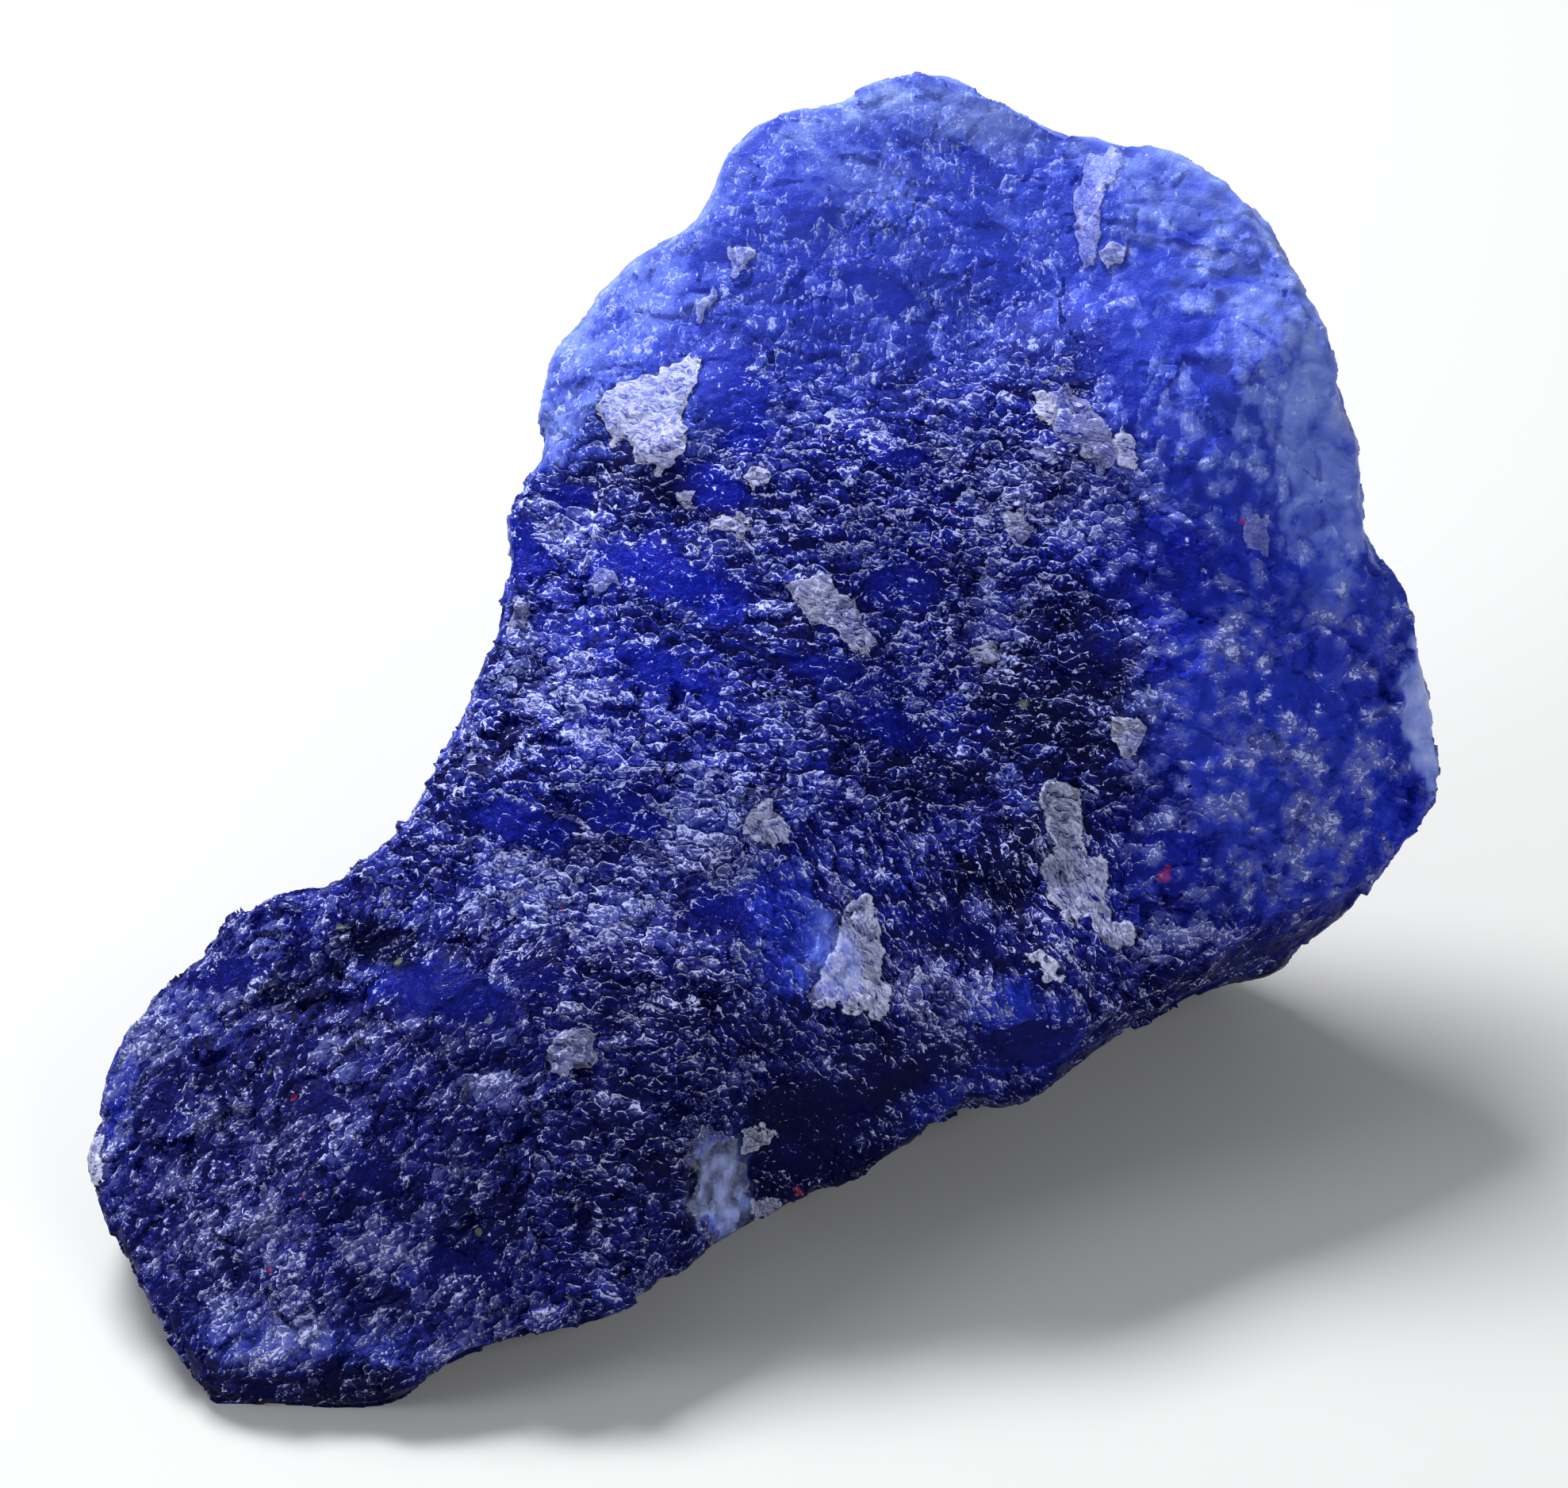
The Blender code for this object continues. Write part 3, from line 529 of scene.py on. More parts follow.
def reliefTree():
    tree, mark = geometryTree(
        "brokenSurface", relief["inputs"], ("grit", "leaf", "standing", "worn", "bead", "flow")
    )
    mixMarks(tree, mark, {"slant": {"start": "Grain Slant", "flow": "Flow Turn"}})
    for name in ("Facet", "Chip", "Grain", "Hackle", "Wrinkle", "Bead"):
        mixMarks(tree, mark, {name + " Density": ("DIVIDE", 1.0, name + " Size")})

    inMm, _, slanted = grainPlaces(tree, addNode(tree, "GeometryNodeInputPosition"), mark["slant"])
    drift = addNode(
        tree, "ShaderNodeTexNoise", {"Vector": slanted, "Scale": 1 / relief["driftSize"], "Detail": 1.5}
    ).outputs["Color"]
    drift = addNode(tree, "ShaderNodeVectorMath", {0: drift, 1: (-0.5, -0.5, -0.5)}, operation="ADD")
    drift = addNode(
        tree, "ShaderNodeVectorMath", {0: drift, "Scale": mark["Outline Warp"]}, operation="SCALE"
    )
    warped = addNode(tree, "ShaderNodeVectorMath", {0: slanted, 1: drift}, operation="ADD")
    alongGrain = addNode(
        tree, "ShaderNodeVectorMath", {0: warped, 1: relief["stretch"]}, operation="MULTIPLY"
    )
    for name, calmShare in relief["calmShare"].items():
        cells, fromCentre, lean = crystalCells(tree, alongGrain, mark[name + " Density"])
        mark[name + " Plane"] = addNode(
            tree, "ShaderNodeVectorMath", {0: lean, 1: fromCentre}, operation="DOT_PRODUCT"
        ).outputs["Value"]
        mixMarks(tree, mark, {
            name + " Share": ("grit", 0.0, 1.0, calmShare, 1.0),
            name + " Strength": ("MULTIPLY", name + " Share", name + " Lean"),
            name + " Rise": ("MULTIPLY", name + " Plane", name + " Strength"),
        })
    mark["hackles"] = addNode(
        tree, "ShaderNodeTexNoise",
        {"Vector": alongGrain, "Scale": mark["Hackle Density"], "Roughness": 0.6, "Distortion": 0.6},
    )
    folded = addNode(
        tree, "ShaderNodeVectorMath", {0: warped, 1: relief["foldStretch"]}, operation="MULTIPLY"
    )
    mark["wrinkles"] = addNode(
        tree, "ShaderNodeTexNoise", {"Vector": folded, "Scale": mark["Wrinkle Density"], "Distortion": 1.4}
    )
    beads = addNode(
        tree, "ShaderNodeTexVoronoi", {"Vector": inMm, "Scale": mark["Bead Density"]}, feature="SMOOTH_F1"
    )
    mark["dome"] = addNode(
        tree, "ShaderNodeMapRange", {0: beads.outputs["Distance"], 1: 0.1, 2: 0.75, 3: 1.0, 4: 0.0},
        interpolation_type="SMOOTHSTEP",
    ).outputs[0]
    mixMarks(tree, mark, {
        "hackleShape": {"start": -0.5, "hackles": 1.0},
        "hackleHeight": ("MULTIPLY", "hackleShape", "Hackle Rise"),
        "roughness": ("grit", 0.0, 1.0, 0.25, 2.2),
        "hackle": ("MULTIPLY", "hackleHeight", "roughness"),
        "bend": {"start": -0.5, "wrinkles": 1.0},
        "fold": ("ABSOLUTE", "bend", 0.0),
        "leafSkin": {"start": "Flake Rise", "fold": "Wrinkle Rise"},
        "leafReach": {"leaf": 1.0, "hackle": 0.5},
        "ledge": ("leafReach", 0.42, 0.54, 0.0, 1.0),
        "proud": ("MULTIPLY", "leafSkin", "ledge"),
        "domed": ("MULTIPLY", "dome", "bead"),
        "height": {
            "Facet Rise": 1.0, "Chip Rise": 1.0, "Grain Rise": 1.0, "hackle": 1.0, "proud": 1.0,
            "domed": "Bead Rise",
        },
        "held": {"standing": 1.0, "worn": 1.0},
        "free": ("held", 0.0, 1.0, mm, 0.0),
        "rise": ("MULTIPLY", "height", "free"),
    })
    offset = addNode(
        tree, "ShaderNodeVectorMath",
        {0: addNode(tree, "GeometryNodeInputNormal"), "Scale": mark["rise"]}, operation="SCALE",
    )
    # The material reads the tone of the finest facets and lumps, and how far a facet faces the light.
    toLight = [-axis for axis in relief["light"]]
    stored = {
        "grainLit": addNode(
            tree, "ShaderNodeVectorMath", {0: lean, 1: toLight}, operation="DOT_PRODUCT"
        ).outputs["Value"],
        "grainTone": addNode(tree, "ShaderNodeSeparateXYZ", {0: cells.outputs["Color"]}).outputs[1],
        "beadTone": addNode(tree, "ShaderNodeSeparateXYZ", {0: beads.outputs["Color"]}).outputs[0],
        "dome": mark["dome"],
    }
    geometry = mark["Geometry"]
    for name, value in stored.items():
        geometry = addNode(
            tree, "GeometryNodeStoreNamedAttribute",
            {"Geometry": geometry, "Name": name, "Value": value}, data_type="FLOAT", domain="POINT",
        ).outputs[0]
    moved = addNode(tree, "GeometryNodeSetPosition", {"Geometry": geometry, "Offset": offset})
    addNode(tree, "NodeGroupOutput", {0: moved})
    return tree


def brokenMesh(mesh):
    obj = addObject("broken", mesh)
    modifier = obj.modifiers.new("relief", "NODES")
    modifier.node_group = reliefTree()
    broken = plainMesh(obj, "broken")
    bpy.data.objects.remove(obj, do_unlink=True)
    points = readPoints(broken)
    standing = np.empty(len(points), np.float32)
    broken.attributes["standing"].data.foreach_get("value", standing)
    points[:, 2] = np.where(standing > 0.5, 0, np.maximum(points[:, 2], 0))
    broken.vertices.foreach_set("co", points.astype(np.float32).ravel())
    broken.update()
    return broken


# Material: cloudy blue corundum, hackly where it broke and glassy where it parted clean

corundum = {
    "ior": 1.77,
    "specular": 0.022,  # fine breaks scatter part of the flash that a polished face gives; much of the flash is painted into the colour as highlights on the pale breaks
    "sheen": ("#1a2eb4", "#0e176e"),  # the chips inside the clear places: their own tone and a painted glimmer
    # in the order in which they cover each other; two codes are for the upper part and for low down, where
    # the darker code is painted shade
    "colours": {
        "deep": "#030648",
        "royal": ("#0e1c96", "#0a1268"),
        # cobalt to pale: the stone's cloudiness with painted light shining through the thin stone
        "cobalt": "#3041b0",
        "milky": "#7085d8",
        "pale": "#a0b0ec",
        "backlit": "#1a2eb4",
        "glass": ("#070f80", "#040745"),
        "unlit": "#02032a",
        "shade": "#02032a",
        "haze": ("#5862ac", "#50568a"),
        # pale breaks with painted highlights on the faces that catch the light
        "fleck": ("#b4bdf0", "#a2a8cc"),
        # painted shadow just outside the leaves' outline
        "outline": "#02032a",
        "flake": "#b4b9d4",
        "rusty": "#94303c",
        "mossy": "#6c7c52",
    },
    "chipSizes": {  # mm below the crown, and in the pale crown, where the chips stand upright
        "facet": (1.9, 1.9),
        "shard": (0.78, 0.85),
        "chip": (0.30, 0.42),
        "glint": (0.15, 0.19),  # the finest chips, as coarse as they must be to show
    },
    # contrast between chips, and from one edge of a chip to the other
    "chipTones": {"facet": (0.8, 0.4), "shard": (0.8, 0.5), "chip": (0.68, 0.36), "glint": (0.62, 0.24)},
    "stretch": (0.82, 1.1, 1.1),  # chips are longer along the grain
    "upright": (1.2, 0.8, 1.0),  # and up the face in the crown
    "wanderSize": 1.25,  # mm over which the chips' outlines wander
    "streakStretch": (0.7, 2.0, 1.0),
    "hackleRise": 0.10,  # mm
    "noises": {  # size in mm, then how it is drawn
        "clouds": (6.0, {"Detail": 5.0, "Roughness": 0.62}),  # darker and paler blue
        "breaks": (2.4, {"Detail": 3.0, "Distortion": 0.8}),  # smoky places full of fine breaks
        "streaks": (0.5, {"Detail": 3.0, "Distortion": 1.2}),  # across a leaf
        "hackles": (0.15, {"Distortion": 0.6}),
    },
    # how much of each colour shows
    "marks": {
        # rims of the chips: one side lit and one dark, blurred where the stone is rounded or calm
        "crisp": ("flow", -1.0, 0.0, 0.6, 1.0),
        "seam": ("seamDistance", 0.03, 0.13, 1.0, 0.0),
        "blur": {"bead": 0.5, "glow": 0.6, "calm": 0.45},
        "sharp": ("blur", 0.0, 1.0, 1.0, 0.0),
        "crispSeam": ("MULTIPLY", "seam", "crisp"),
        "rim": ("MULTIPLY", "crispSeam", "sharp"),
        "litSide": ("shardEdge", 0.02, 0.14, 0.0, 1.0),
        "darkSide": ("shardEdge", -0.02, -0.14, 0.0, 1.0),
        "litRim": ("MULTIPLY", "rim", "litSide"),
        "darkRim": ("MULTIPLY", "rim", "darkSide"),
        # body: deep to royal in clouds, pale cloudiness with painted light shining through towards the thin
        # rim and crown, painted shade where no light comes back
        "cloudy": ("clouds", 0.36, 0.64, 0.1, 0.9),
        "royal": {"cloudy": 1.0, "bead": 0.28},
        "milkiness": ("breaks", 0.35, 0.65, 0.75, 1.2),
        "milkDepth": ("MULTIPLY", "milkiness", "milk"),
        "cobalt": ("milkDepth", 0.0, 0.5, 0.0, 1.0),
        "milky": ("milkDepth", 0.5, 1.0, 0.0, 1.0),
        "pale": ("milkDepth", 1.0, 1.5, 0.0, 1.0),
        "litCloud": ("clouds", 0.35, 0.65, 0.6, 1.1),
        "backlit": ("MULTIPLY", "glow", "litCloud"),
        "darkCloud": ("clouds", 0.35, 0.65, 1.1, 0.6),
        "unlit": ("MULTIPLY", "night", "darkCloud"),
        # clear places, with a few chips inside that carry a painted glimmer
        "pane": {"window": 1.0, "chip": -0.2, "facet": -0.7},
        "clear": ("pane", 0.50, 0.62, 0.0, 1.0),
        "clarity": ("milk", 0.0, 0.5, 0.8, 0.15),
        "glass": ("MULTIPLY", "clarity", "clear"),
        "glimmering": {"chip": 1.0, "glint": 1.0},
        "glimmer": ("glimmering", -0.1, 0.5, 0.0, 1.0),
        # chips: smoky where many breaks lie together; pale breaks with painted highlights where a face
        # flashes; painted light and shade by how each chip faces the light
        "rounded": ("bead", 0.0, 1.0, 1.0, 0.7),
        "chipTone": ("MULTIPLY", "chip", "rounded"),
        "finest": ("MULTIPLY", "glint", "rounded"),
        "lumpy": {"start": -0.85, "dome": 0.55, "beadTone": 1.15},
        "lump": ("MULTIPLY", "lumpy", "bead"),
        "soft": ("flow", -1.0, 0.0, 1.9, 1.0),
        "softer": {"soft": 1.0, "bead": 1.0},
        "smokiness": {"start": -0.5, "breaks": 1.0},
        "smoky": ("MULTIPLY", "smokiness", "softer"),
        "above": {
            "start": -0.1, "chipTone": 1.0, "finest": 1.0, "smoky": 0.3, "grainTone": 0.2, "grainLit": 0.2,
            "facet": 0.3, "shard": 0.32, "litRim": 0.5, "darkRim": -0.5, "sparkle": 0.15, "smoke": 0.12,
            "clear": -0.35, "night": -0.12, "low": -0.06, "lump": 0.7, "bead": -0.02,
        },
        "veil": {
            "start": -0.275, "finest": 0.5, "smoky": 0.7, "grainTone": 0.35, "chipTone": 0.5,
            "grainLit": 0.4, "facet": 0.5, "shard": 0.5, "litRim": 0.35, "darkRim": -0.6, "smoke": 0.42,
            "sparkle": 0.06, "clear": -0.7, "night": -0.25, "lump": 1.3, "bead": 0.2,
        },
        "shaded": ("veil", -0.12, -0.5, 0.0, 0.9),
        "grittyShade": ("MULTIPLY", "shaded", "grit"),
        "lit": ("MAXIMUM", "backlit", "bead"),
        "dull": {"start": 1.0, "lit": -0.7},
        "shade": ("MULTIPLY", "grittyShade", "dull"),
        "veiled": ("veil", -0.1, 0.65, 0.0, 0.9),
        "hazy": {"calm": 0.5, "grit": 1.0},
        "haze": ("MULTIPLY", "veiled", "hazy"),
        "flecked": ("above", 0.44, 0.68, 0.0, 1.0),
        "whiteness": ("calm", 0.0, 1.0, 0.95, 0.5),
        "fleck": ("MULTIPLY", "flecked", "whiteness"),
        # leaves: thin and whitish, streaked with blue, with a painted highlight along the outline and a
        # painted shadow in a thin band just outside it
        "leafEdge": {"leaf": 1.0, "chip": 0.07, "glint": 0.04},
        "edge": ("leafEdge", 0.5, 0.58, 0.6, 0.0),
        "around": ("leafEdge", 0.36, 0.46, 0.0, 1.0),
        "inside": ("leafEdge", 0.47, 0.50, 0.0, 1.0),
        "under": {"around": 0.8, "inside": -0.8},
        "outline": ("MULTIPLY", "under", "white"),
        "streaked": ("streaks", 0.38, 0.62, 0.3, 1.2),
        "folds": {"streaked": 1.0, "chipTone": 0.4, "shard": 0.25, "darkRim": -0.35, "edge": 1.0},
        "whitish": ("MULTIPLY", "inside", "white"),
        "flake": ("MULTIPLY", "whitish", "folds"),
        # specks
        "rusting": {"rust": 1.0, "chip": 0.8},
        "rusty": ("rusting", 0.4, 0.85, 0.0, 0.5),
        "mossing": {"moss": 1.0, "chip": 0.8},
        "mossy": ("mossing", 0.4, 0.85, 0.0, 0.5),
        # surface: rougher and more uneven where it is gritty
        "gloss": ("grit", 0.0, 1.0, 0.25, 0.42),
        "unevenness": ("grit", 0.0, 1.0, 0.05, 0.45),
    },
}


def corundumMaterial():
    # Corundum splits light strongly, so fresh faces flash white over a body colour that stays deep.
    material = bpy.data.materials.new("brokenBlueCorundum")
    material.use_nodes = True
    tree = material.node_tree
    shader = tree.nodes["Principled BSDF"]
    shader.inputs["IOR"].default_value = corundum["ior"]
    shader.inputs["Specular IOR Level"].default_value = corundum["specular"]
    names = (
        "milk", "night", "window", "leaf", "white", "smoke", "grit", "sparkle", "low", "calm",
        "grainLit", "grainTone", "bead", "dome", "beadTone", "rust", "moss", "flow", "glow",
    )
    mark = {
        name: addNode(tree, "ShaderNodeAttribute", attribute_name=name).outputs["Fac"]
        for name in names
    }
    place = addNode(tree, "ShaderNodeTexCoord").outputs["Object"]
    mixMarks(tree, mark, {
        "wholeFlow": ("ROUND", "flow", 0.0),
        "slant": {"start": layout["grainSlant"], "wholeFlow": layout["flowTurn"]},
    })
    inMm, upright, slanted = grainPlaces(tree, place, mark["slant"])
    alongGrain = addNode(
        tree, "ShaderNodeVectorMath", {0: slanted, 1: corundum["stretch"]}, operation="MULTIPLY"
    )
    # Chips lie along the grain below the crown and stand upright in it.
    wander = addNode(
        tree, "ShaderNodeTexNoise", {"Vector": inMm, "Scale": 1 / corundum["wanderSize"]}
    ).outputs["Color"]
    lying = addNode(tree, "ShaderNodeVectorMath", {0: alongGrain, 1: wander}, operation="ADD")
    standing = addNode(
        tree, "ShaderNodeVectorMath", {0: upright, 1: corundum["upright"], 2: wander},
        operation="MULTIPLY_ADD",
    )
    folded = addNode(
        tree, "ShaderNodeVectorMath", {0: lying, 1: corundum["streakStretch"]}, operation="MULTIPLY"
    )
    noisePlaces = {"clouds": inMm, "breaks": alongGrain, "streaks": folded, "hackles": alongGrain}
    for name, vector in noisePlaces.items():
        size, drawn = corundum["noises"][name]
        mark[name] = addNode(tree, "ShaderNodeTexNoise", {"Vector": vector, "Scale": 1 / size, **drawn})
    mixMarks(tree, mark, {
        "crownness": {"calm": 1.0, "breaks": 0.6},
        "inCrown": ("GREATER_THAN", "crownness", 0.8),
    })
    for name, sizes in corundum["chipSizes"].items():
        lyingPlace, standingPlace = (
            addNode(tree, "ShaderNodeVectorMath", {0: vector, "Scale": 1 / size}, operation="SCALE")
            for vector, size in zip((lying, standing), sizes)
        )
        chipPlace = addNode(
            tree, "ShaderNodeMix", {0: mark["inCrown"], 4: lyingPlace, 5: standingPlace}, data_type="VECTOR"
        )
        # overlapping chips: each has its own brightness, and is paler towards the edge that faces the light
        distance = "EUCLIDEAN" if name == "shard" else "MANHATTAN"
        cells, fromCentre, lean = crystalCells(tree, chipPlace, 1.0, distance)
        contrast, slope = corundum["chipTones"][name]
        mark[name + "Edge"] = addNode(
            tree, "ShaderNodeVectorMath",
            {0: fromCentre, 1: [slope * axis for axis in relief["light"]]}, operation="DOT_PRODUCT",
        ).outputs["Value"]
        mark[name + "Own"] = addNode(
            tree, "ShaderNodeSeparateColor", {0: cells.outputs["Color"]}
        ).outputs[0]
        mixMarks(tree, mark, {
            name: {"start": -0.5 * contrast, name + "Own": contrast, name + "Edge": 1.0}
        })
        if name == "shard":
            mark["seamDistance"] = addNode(
                tree, "ShaderNodeTexVoronoi", {"Vector": chipPlace, "Scale": 1.0},
                feature="DISTANCE_TO_EDGE",
            )
        if name == "chip":
            chipLean = lean
    mixMarks(tree, mark, corundum["marks"])

    shades = {}
    for name, codes in {**corundum["colours"], "sheen": corundum["sheen"]}.items():
        if isinstance(codes, str):
            shades[name] = linearColour(codes)
            continue
        shades[name] = addNode(
            tree, "ShaderNodeMix",
            {0: mark["low"], 6: linearColour(codes[0]), 7: linearColour(codes[1])}, data_type="RGBA",
        )
    for name, share, other in (("glass", "glimmer", "sheen"), ("haze", "calm", "milky")):
        shades[name] = addNode(
            tree, "ShaderNodeMix", {0: mark[share], 6: shades[name], 7: shades[other]}, data_type="RGBA"
        )
    colour = shades["deep"]
    for name in list(corundum["colours"])[1:]:
        colour = addNode(
            tree, "ShaderNodeMix", {0: mark[name], 6: colour, 7: shades[name]}, data_type="RGBA"
        )
    tree.links.new(colour.outputs[2], shader.inputs["Base Color"])
    tree.links.new(mark["gloss"].outputs[0], shader.inputs["Roughness"])

    # Each chip leans its own way, and hackles finer than the mesh run over it.
    leaning = addNode(
        tree, "ShaderNodeVectorMath", {0: chipLean, "Scale": mark["unevenness"]}, operation="SCALE"
    )
    normal = addNode(tree, "ShaderNodeNewGeometry").outputs["Normal"]
    tilted = addNode(tree, "ShaderNodeVectorMath", {0: normal, 1: leaning}, operation="ADD")
    tilted = addNode(tree, "ShaderNodeVectorMath", {0: tilted}, operation="NORMALIZE")
    distance = corundum["hackleRise"] * mm
    bump = addNode(
        tree, "ShaderNodeBump",
        {"Strength": 0.7, "Distance": distance, "Height": mark["hackles"], "Normal": tilted},
    )
    tree.links.new(bump.outputs[0], shader.inputs["Normal"])
    return material


# Grains: angular crystals of half a millimetre, half sunk in the surface

grains = {
    "shapes": 5,  # how many different grains there are
    "corners": 18,  # points that a grain is the hull of
    "halfWidths": (0.52, 0.40, 0.28),  # as shares of its size
    "size": (0.32, 0.8),  # mm, smallest and largest
    "perSquareMm": 1.3,
    "tiltDegrees": 20,
    "sink": 0.2,  # share of its size that a grain lies below the surface
    "partingFace": 1.0,  # square mm: a face as wide as that is a parting inside the stone, which has none
    "seed": 7,
}


def grainShape(name, seed):
    rng = np.random.default_rng(seed)
    bm = bmesh.new()
    for corner in range(grains["corners"]):
        direction = rng.normal(size=3)
        direction /= np.linalg.norm(direction)
        bm.verts.new(direction * rng.uniform(0.93, 1.0) * np.array(grains["halfWidths"]))
    bmesh.ops.convex_hull(bm, input=bm.verts[:])
    loose = [vert for vert in bm.verts if not vert.link_faces]
    bmesh.ops.delete(bm, geom=loose, context="VERTS")
    bmesh.ops.recalc_face_normals(bm, faces=bm.faces[:])
    mesh = meshFrom(bm, name)
    mesh.shade_smooth()
    return bpy.data.objects.new(name, mesh)


def grainTree(shapes, material):
    inputs = {
        "Grains per Square Metre": grains["perSquareMm"] / mm**2,
        "Smallest Grain": grains["size"][0] * mm,
        "Largest Grain": grains["size"][1] * mm,
        "Tilt": math.radians(grains["tiltDegrees"]),
        "Sink": -grains["sink"],
        "Seed": grains["seed"],
    }
    tree, mark = geometryTree("crystalGrains", inputs, ("loose", "standing"))
    mark["area"] = addNode(tree, "GeometryNodeInputMeshFaceArea")
    mark["size"] = addNode(tree, "FunctionNodeRandomValue", {2: 0.0, 3: 1.0, "Seed": 23}, data_type="FLOAT")
    mixMarks(tree, mark, {
        "density": ("MULTIPLY", "loose", "Grains per Square Metre"),
        "raised": ("LESS_THAN", "standing", 0.01),
        "outer": ("LESS_THAN", "area", grains["partingFace"] * mm**2),
        "free": ("MULTIPLY", "raised", "outer"),
        "fewLarge": ("POWER", "size", 2.4),
        "scale": ("fewLarge", 0.0, 1.0, "Smallest Grain", "Largest Grain"),
        "depth": ("MULTIPLY", "scale", "Sink"),
        "minusTilt": ("MULTIPLY", "Tilt", -1.0),
    })
    scatter = addNode(
        tree, "GeometryNodeDistributePointsOnFaces",
        {
            "Mesh": mark["Geometry"], "Selection": mark["free"], "Density": mark["density"],
            "Seed": mark["Seed"],
        },
        distribute_method="RANDOM",
    )
    sunk = addNode(
        tree, "ShaderNodeVectorMath", {0: scatter.outputs["Normal"], "Scale": mark["depth"]},
        operation="SCALE",
    )
    placed = addNode(
        tree, "GeometryNodeSetPosition", {"Geometry": scatter.outputs["Points"], "Offset": sunk}
    )
    shade = addNode(tree, "FunctionNodeRandomValue", {2: -0.4, 3: 1.6, "Seed": 51}, data_type="FLOAT")
    placed = addNode(
        tree, "GeometryNodeStoreNamedAttribute",
        {"Geometry": placed, "Name": "grainTone", "Value": shade}, data_type="FLOAT", domain="POINT",
    )
    upright = addNode(
        tree, "FunctionNodeAlignRotationToVector", {"Vector": scatter.outputs["Normal"]}, axis="Z"
    )
    lowTurn, highTurn = (
        addNode(tree, "ShaderNodeCombineXYZ", {0: mark[tilt], 1: mark[tilt], 2: spin})
        for tilt, spin in (("minusTilt", -0.7), ("Tilt", 0.7))
    )
    turn = addNode(
        tree, "FunctionNodeRandomValue", {0: lowTurn, 1: highTurn, "Seed": 11}, data_type="FLOAT_VECTOR"
    )
    turned = addNode(
        tree, "FunctionNodeRotateRotation", {"Rotation": upright, "Rotate By": turn}, rotation_space="LOCAL"
    )
    shapeSet = addNode(
        tree, "GeometryNodeCollectionInfo",
        {"Collection": shapes, "Separate Children": True, "Reset Children": True},
        transform_space="ORIGINAL",
    )
    which = addNode(
        tree, "FunctionNodeRandomValue", {4: 0, 5: grains["shapes"] - 1, "Seed": 37}, data_type="INT"
    )
    copies = addNode(
        tree, "GeometryNodeInstanceOnPoints",
        {
            "Points": placed, "Instance": shapeSet, "Pick Instance": True,
            "Instance Index": which, "Rotation": turned, "Scale": mark["scale"],
        },
    )
    real = addNode(tree, "GeometryNodeRealizeInstances", {"Geometry": copies})
    dressed = addNode(tree, "GeometryNodeSetMaterial", {"Geometry": real, "Material": material})
    addNode(tree, "NodeGroupOutput", {0: dressed})
    return tree


def makeGrains(name, number, mesh, tree):
    obj = addObject(name, mesh)
    modifier = obj.modifiers.new("grains", "NODES")
    modifier.node_group = tree
    modifier[tree.interface.items_tree["Seed"].identifier] = grains["seed"] + number
    made = plainMesh(obj, name)
    obj.modifiers.clear()
    obj.data = made
    print("stage:", name, len(made.polygons), "faces")
    return obj


# Pieces: the stone is parted by planes inside it, so that each mesh stays light

parting = {
    # piece: what is kept lies under and over these places up the face, left and right of these across it
    "stoneCrown": (None, 17.5, None, None),
    "stoneBody": (17.5, 1.5, None, None),
    "stoneWaist": (1.5, -10, None, -10),
    "stoneHeel": (-10, None, None, -10),
    "stoneInstep": (1.5, None, -10, -26),
    "stoneToe": (1.5, None, -26, None),
}


def partStone(mesh):
    pieces = []
    for name, places in parting.items():
        bm = bmesh.new()
        bm.from_mesh(mesh)
        for place, axis, side in zip(places, (upAxis, upAxis, acrossAxis, acrossAxis), (1, -1, 1, -1)):
            if place is None:
                continue
            bmesh.ops.bisect_plane(
                bm, geom=bm.verts[:] + bm.edges[:] + bm.faces[:], plane_co=(origin + axis * place) * mm,
                plane_no=axis * side, clear_outer=True, dist=1e-7,
            )
            rim = [edge for edge in bm.edges if edge.is_boundary]
            bmesh.ops.edgeloop_fill(bm, edges=rim)
        part = meshFrom(bm, name)
        part.materials.append(stoneMaterial)
        part.shade_smooth()
        part.set_sharp_from_angle(angle=math.radians(38))
        pieces.append(addObject(name, part))
        part.calc_loop_triangles()
        print("stage:", name, len(part.loop_triangles), "triangles")
    return pieces


stoneMaterial = corundumMaterial()
solid, solidTree = solidMesh()
netted = nettedForm(solid)
print("stage: form", len(netted.vertices), "points")
storeFields(netted, stoneFields(readPoints(netted), readPoints(netted, "normal"), solidTree))
print("stage: fields")
broken = brokenMesh(netted)
print("stage: relief")
stonePieces = partStone(broken)

shapes = bpy.data.collections.new("grainShapes")
for number in range(grains["shapes"]):
    shapes.objects.link(grainShape(f"grainShape{number}", 100 + number))
scatterTree = grainTree(shapes, stoneMaterial)
grainPieces = [
    makeGrains(stone.name.replace("stone", "grains"), number, stone.data, scatterTree)
    for number, stone in enumerate(stonePieces)
]
for shape in list(shapes.objects):
    bpy.data.objects.remove(shape, do_unlink=True)
bpy.data.collections.remove(shapes)

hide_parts("sapphire")  # stoneBody stands for the solid
for piece in stonePieces + grainPieces:
    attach(piece, "root")
print("stage: pieces ride on the frame")

# Studio: pale matt floor, a big soft light above, a low one at the left, camera square to the face

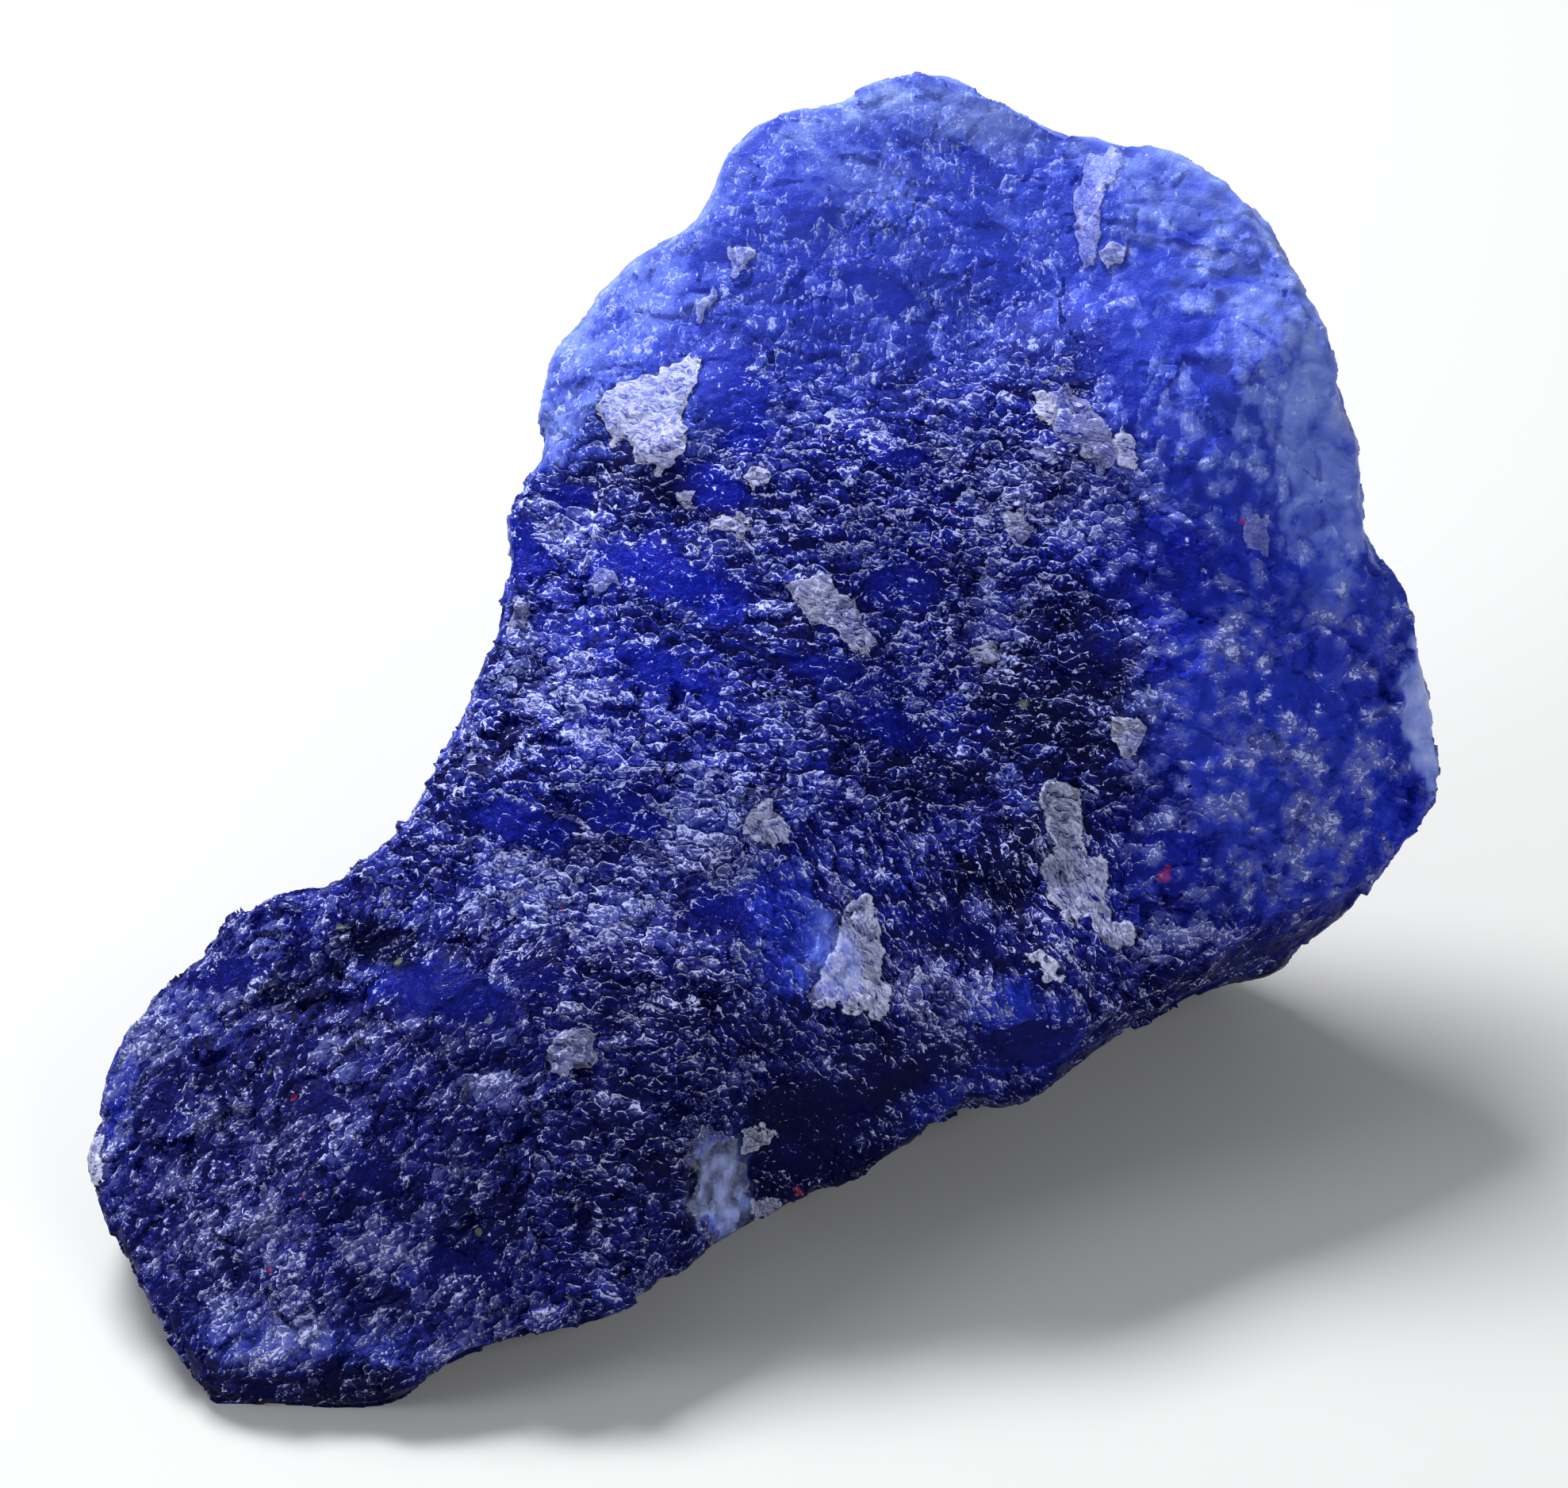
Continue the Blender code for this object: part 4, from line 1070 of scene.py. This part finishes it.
studio = {
    "floorColour": "#bfbfbe",
    "floorSize": 6.0,
    "worldColour": "#e9edf4",
    "worldStrength": 0.34,
    # name: place, size in metres, power in watts, colour
    "lights": {
        "topSoftbox": ((-0.16, 0.22, 0.46), (0.22, 0.18), 4.4, "#ffffff"),
        "leftSoftbox": ((-0.46, -0.22, 0.26), (0.20, 0.20), 1.2, "#f4f7ff"),
        "frontFill": ((0.30, -0.60, 0.45), (0.30, 0.30), 1.9, "#ffffff"),
    },
    "lightsAim": (0, 0, 0.03),  # all turn to the middle of the stone
    "lens": 200.0,
    "sensor": 36.0,
    "frameWidth": 98.85,  # mm that the view is wide at the face's plane
    "aim": (1.425, 0.1),  # across and up, mm, at the middle of the view
}


def floorPlane():
    bm = bmesh.new()
    bmesh.ops.create_grid(bm, x_segments=1, y_segments=1, size=studio["floorSize"] / 2)
    mesh = meshFrom(bm, "floor")
    material = bpy.data.materials.new("paleMattPaper")
    material.use_nodes = True
    shader = material.node_tree.nodes["Principled BSDF"]
    shader.inputs["Base Color"].default_value = linearColour(studio["floorColour"])
    shader.inputs["Roughness"].default_value = 0.9
    mesh.materials.append(material)
    floor = addObject("floor", mesh)


def areaLight(name, place, size, power, colour):
    light = bpy.data.lights.new(name, "AREA")
    light.shape = "RECTANGLE"
    light.size, light.size_y = size
    light.energy = power
    light.color = linearColour(colour)[:3]
    obj = addObject(name, light)
    obj.location = place
    aim = Vector(studio["lightsAim"]) - Vector(place)
    obj.rotation_euler = aim.to_track_quat("-Z", "Y").to_euler()


def viewCamera():
    data = bpy.data.cameras.new("viewCamera")
    data.lens = studio["lens"]
    data.sensor_width = studio["sensor"]
    data.clip_start = 0.01
    camera = addObject("viewCamera", data)
    camera.location = toWorld(*studio["aim"], studio["lens"] * studio["frameWidth"] / studio["sensor"])
    camera.rotation_euler = (math.pi / 2 - layout["lean"], 0, 0)
    bpy.context.scene.camera = camera


floorPlane()
for name, values in studio["lights"].items():
    areaLight(name, *values)
world = bpy.data.worlds.new("studioWorld")
world.use_nodes = True
background = world.node_tree.nodes["Background"].inputs
background["Color"].default_value = linearColour(studio["worldColour"])
background["Strength"].default_value = studio["worldStrength"]
bpy.context.scene.world = world
bpy.context.scene.view_settings.view_transform = "Standard"
viewCamera()
print("stage: studio")
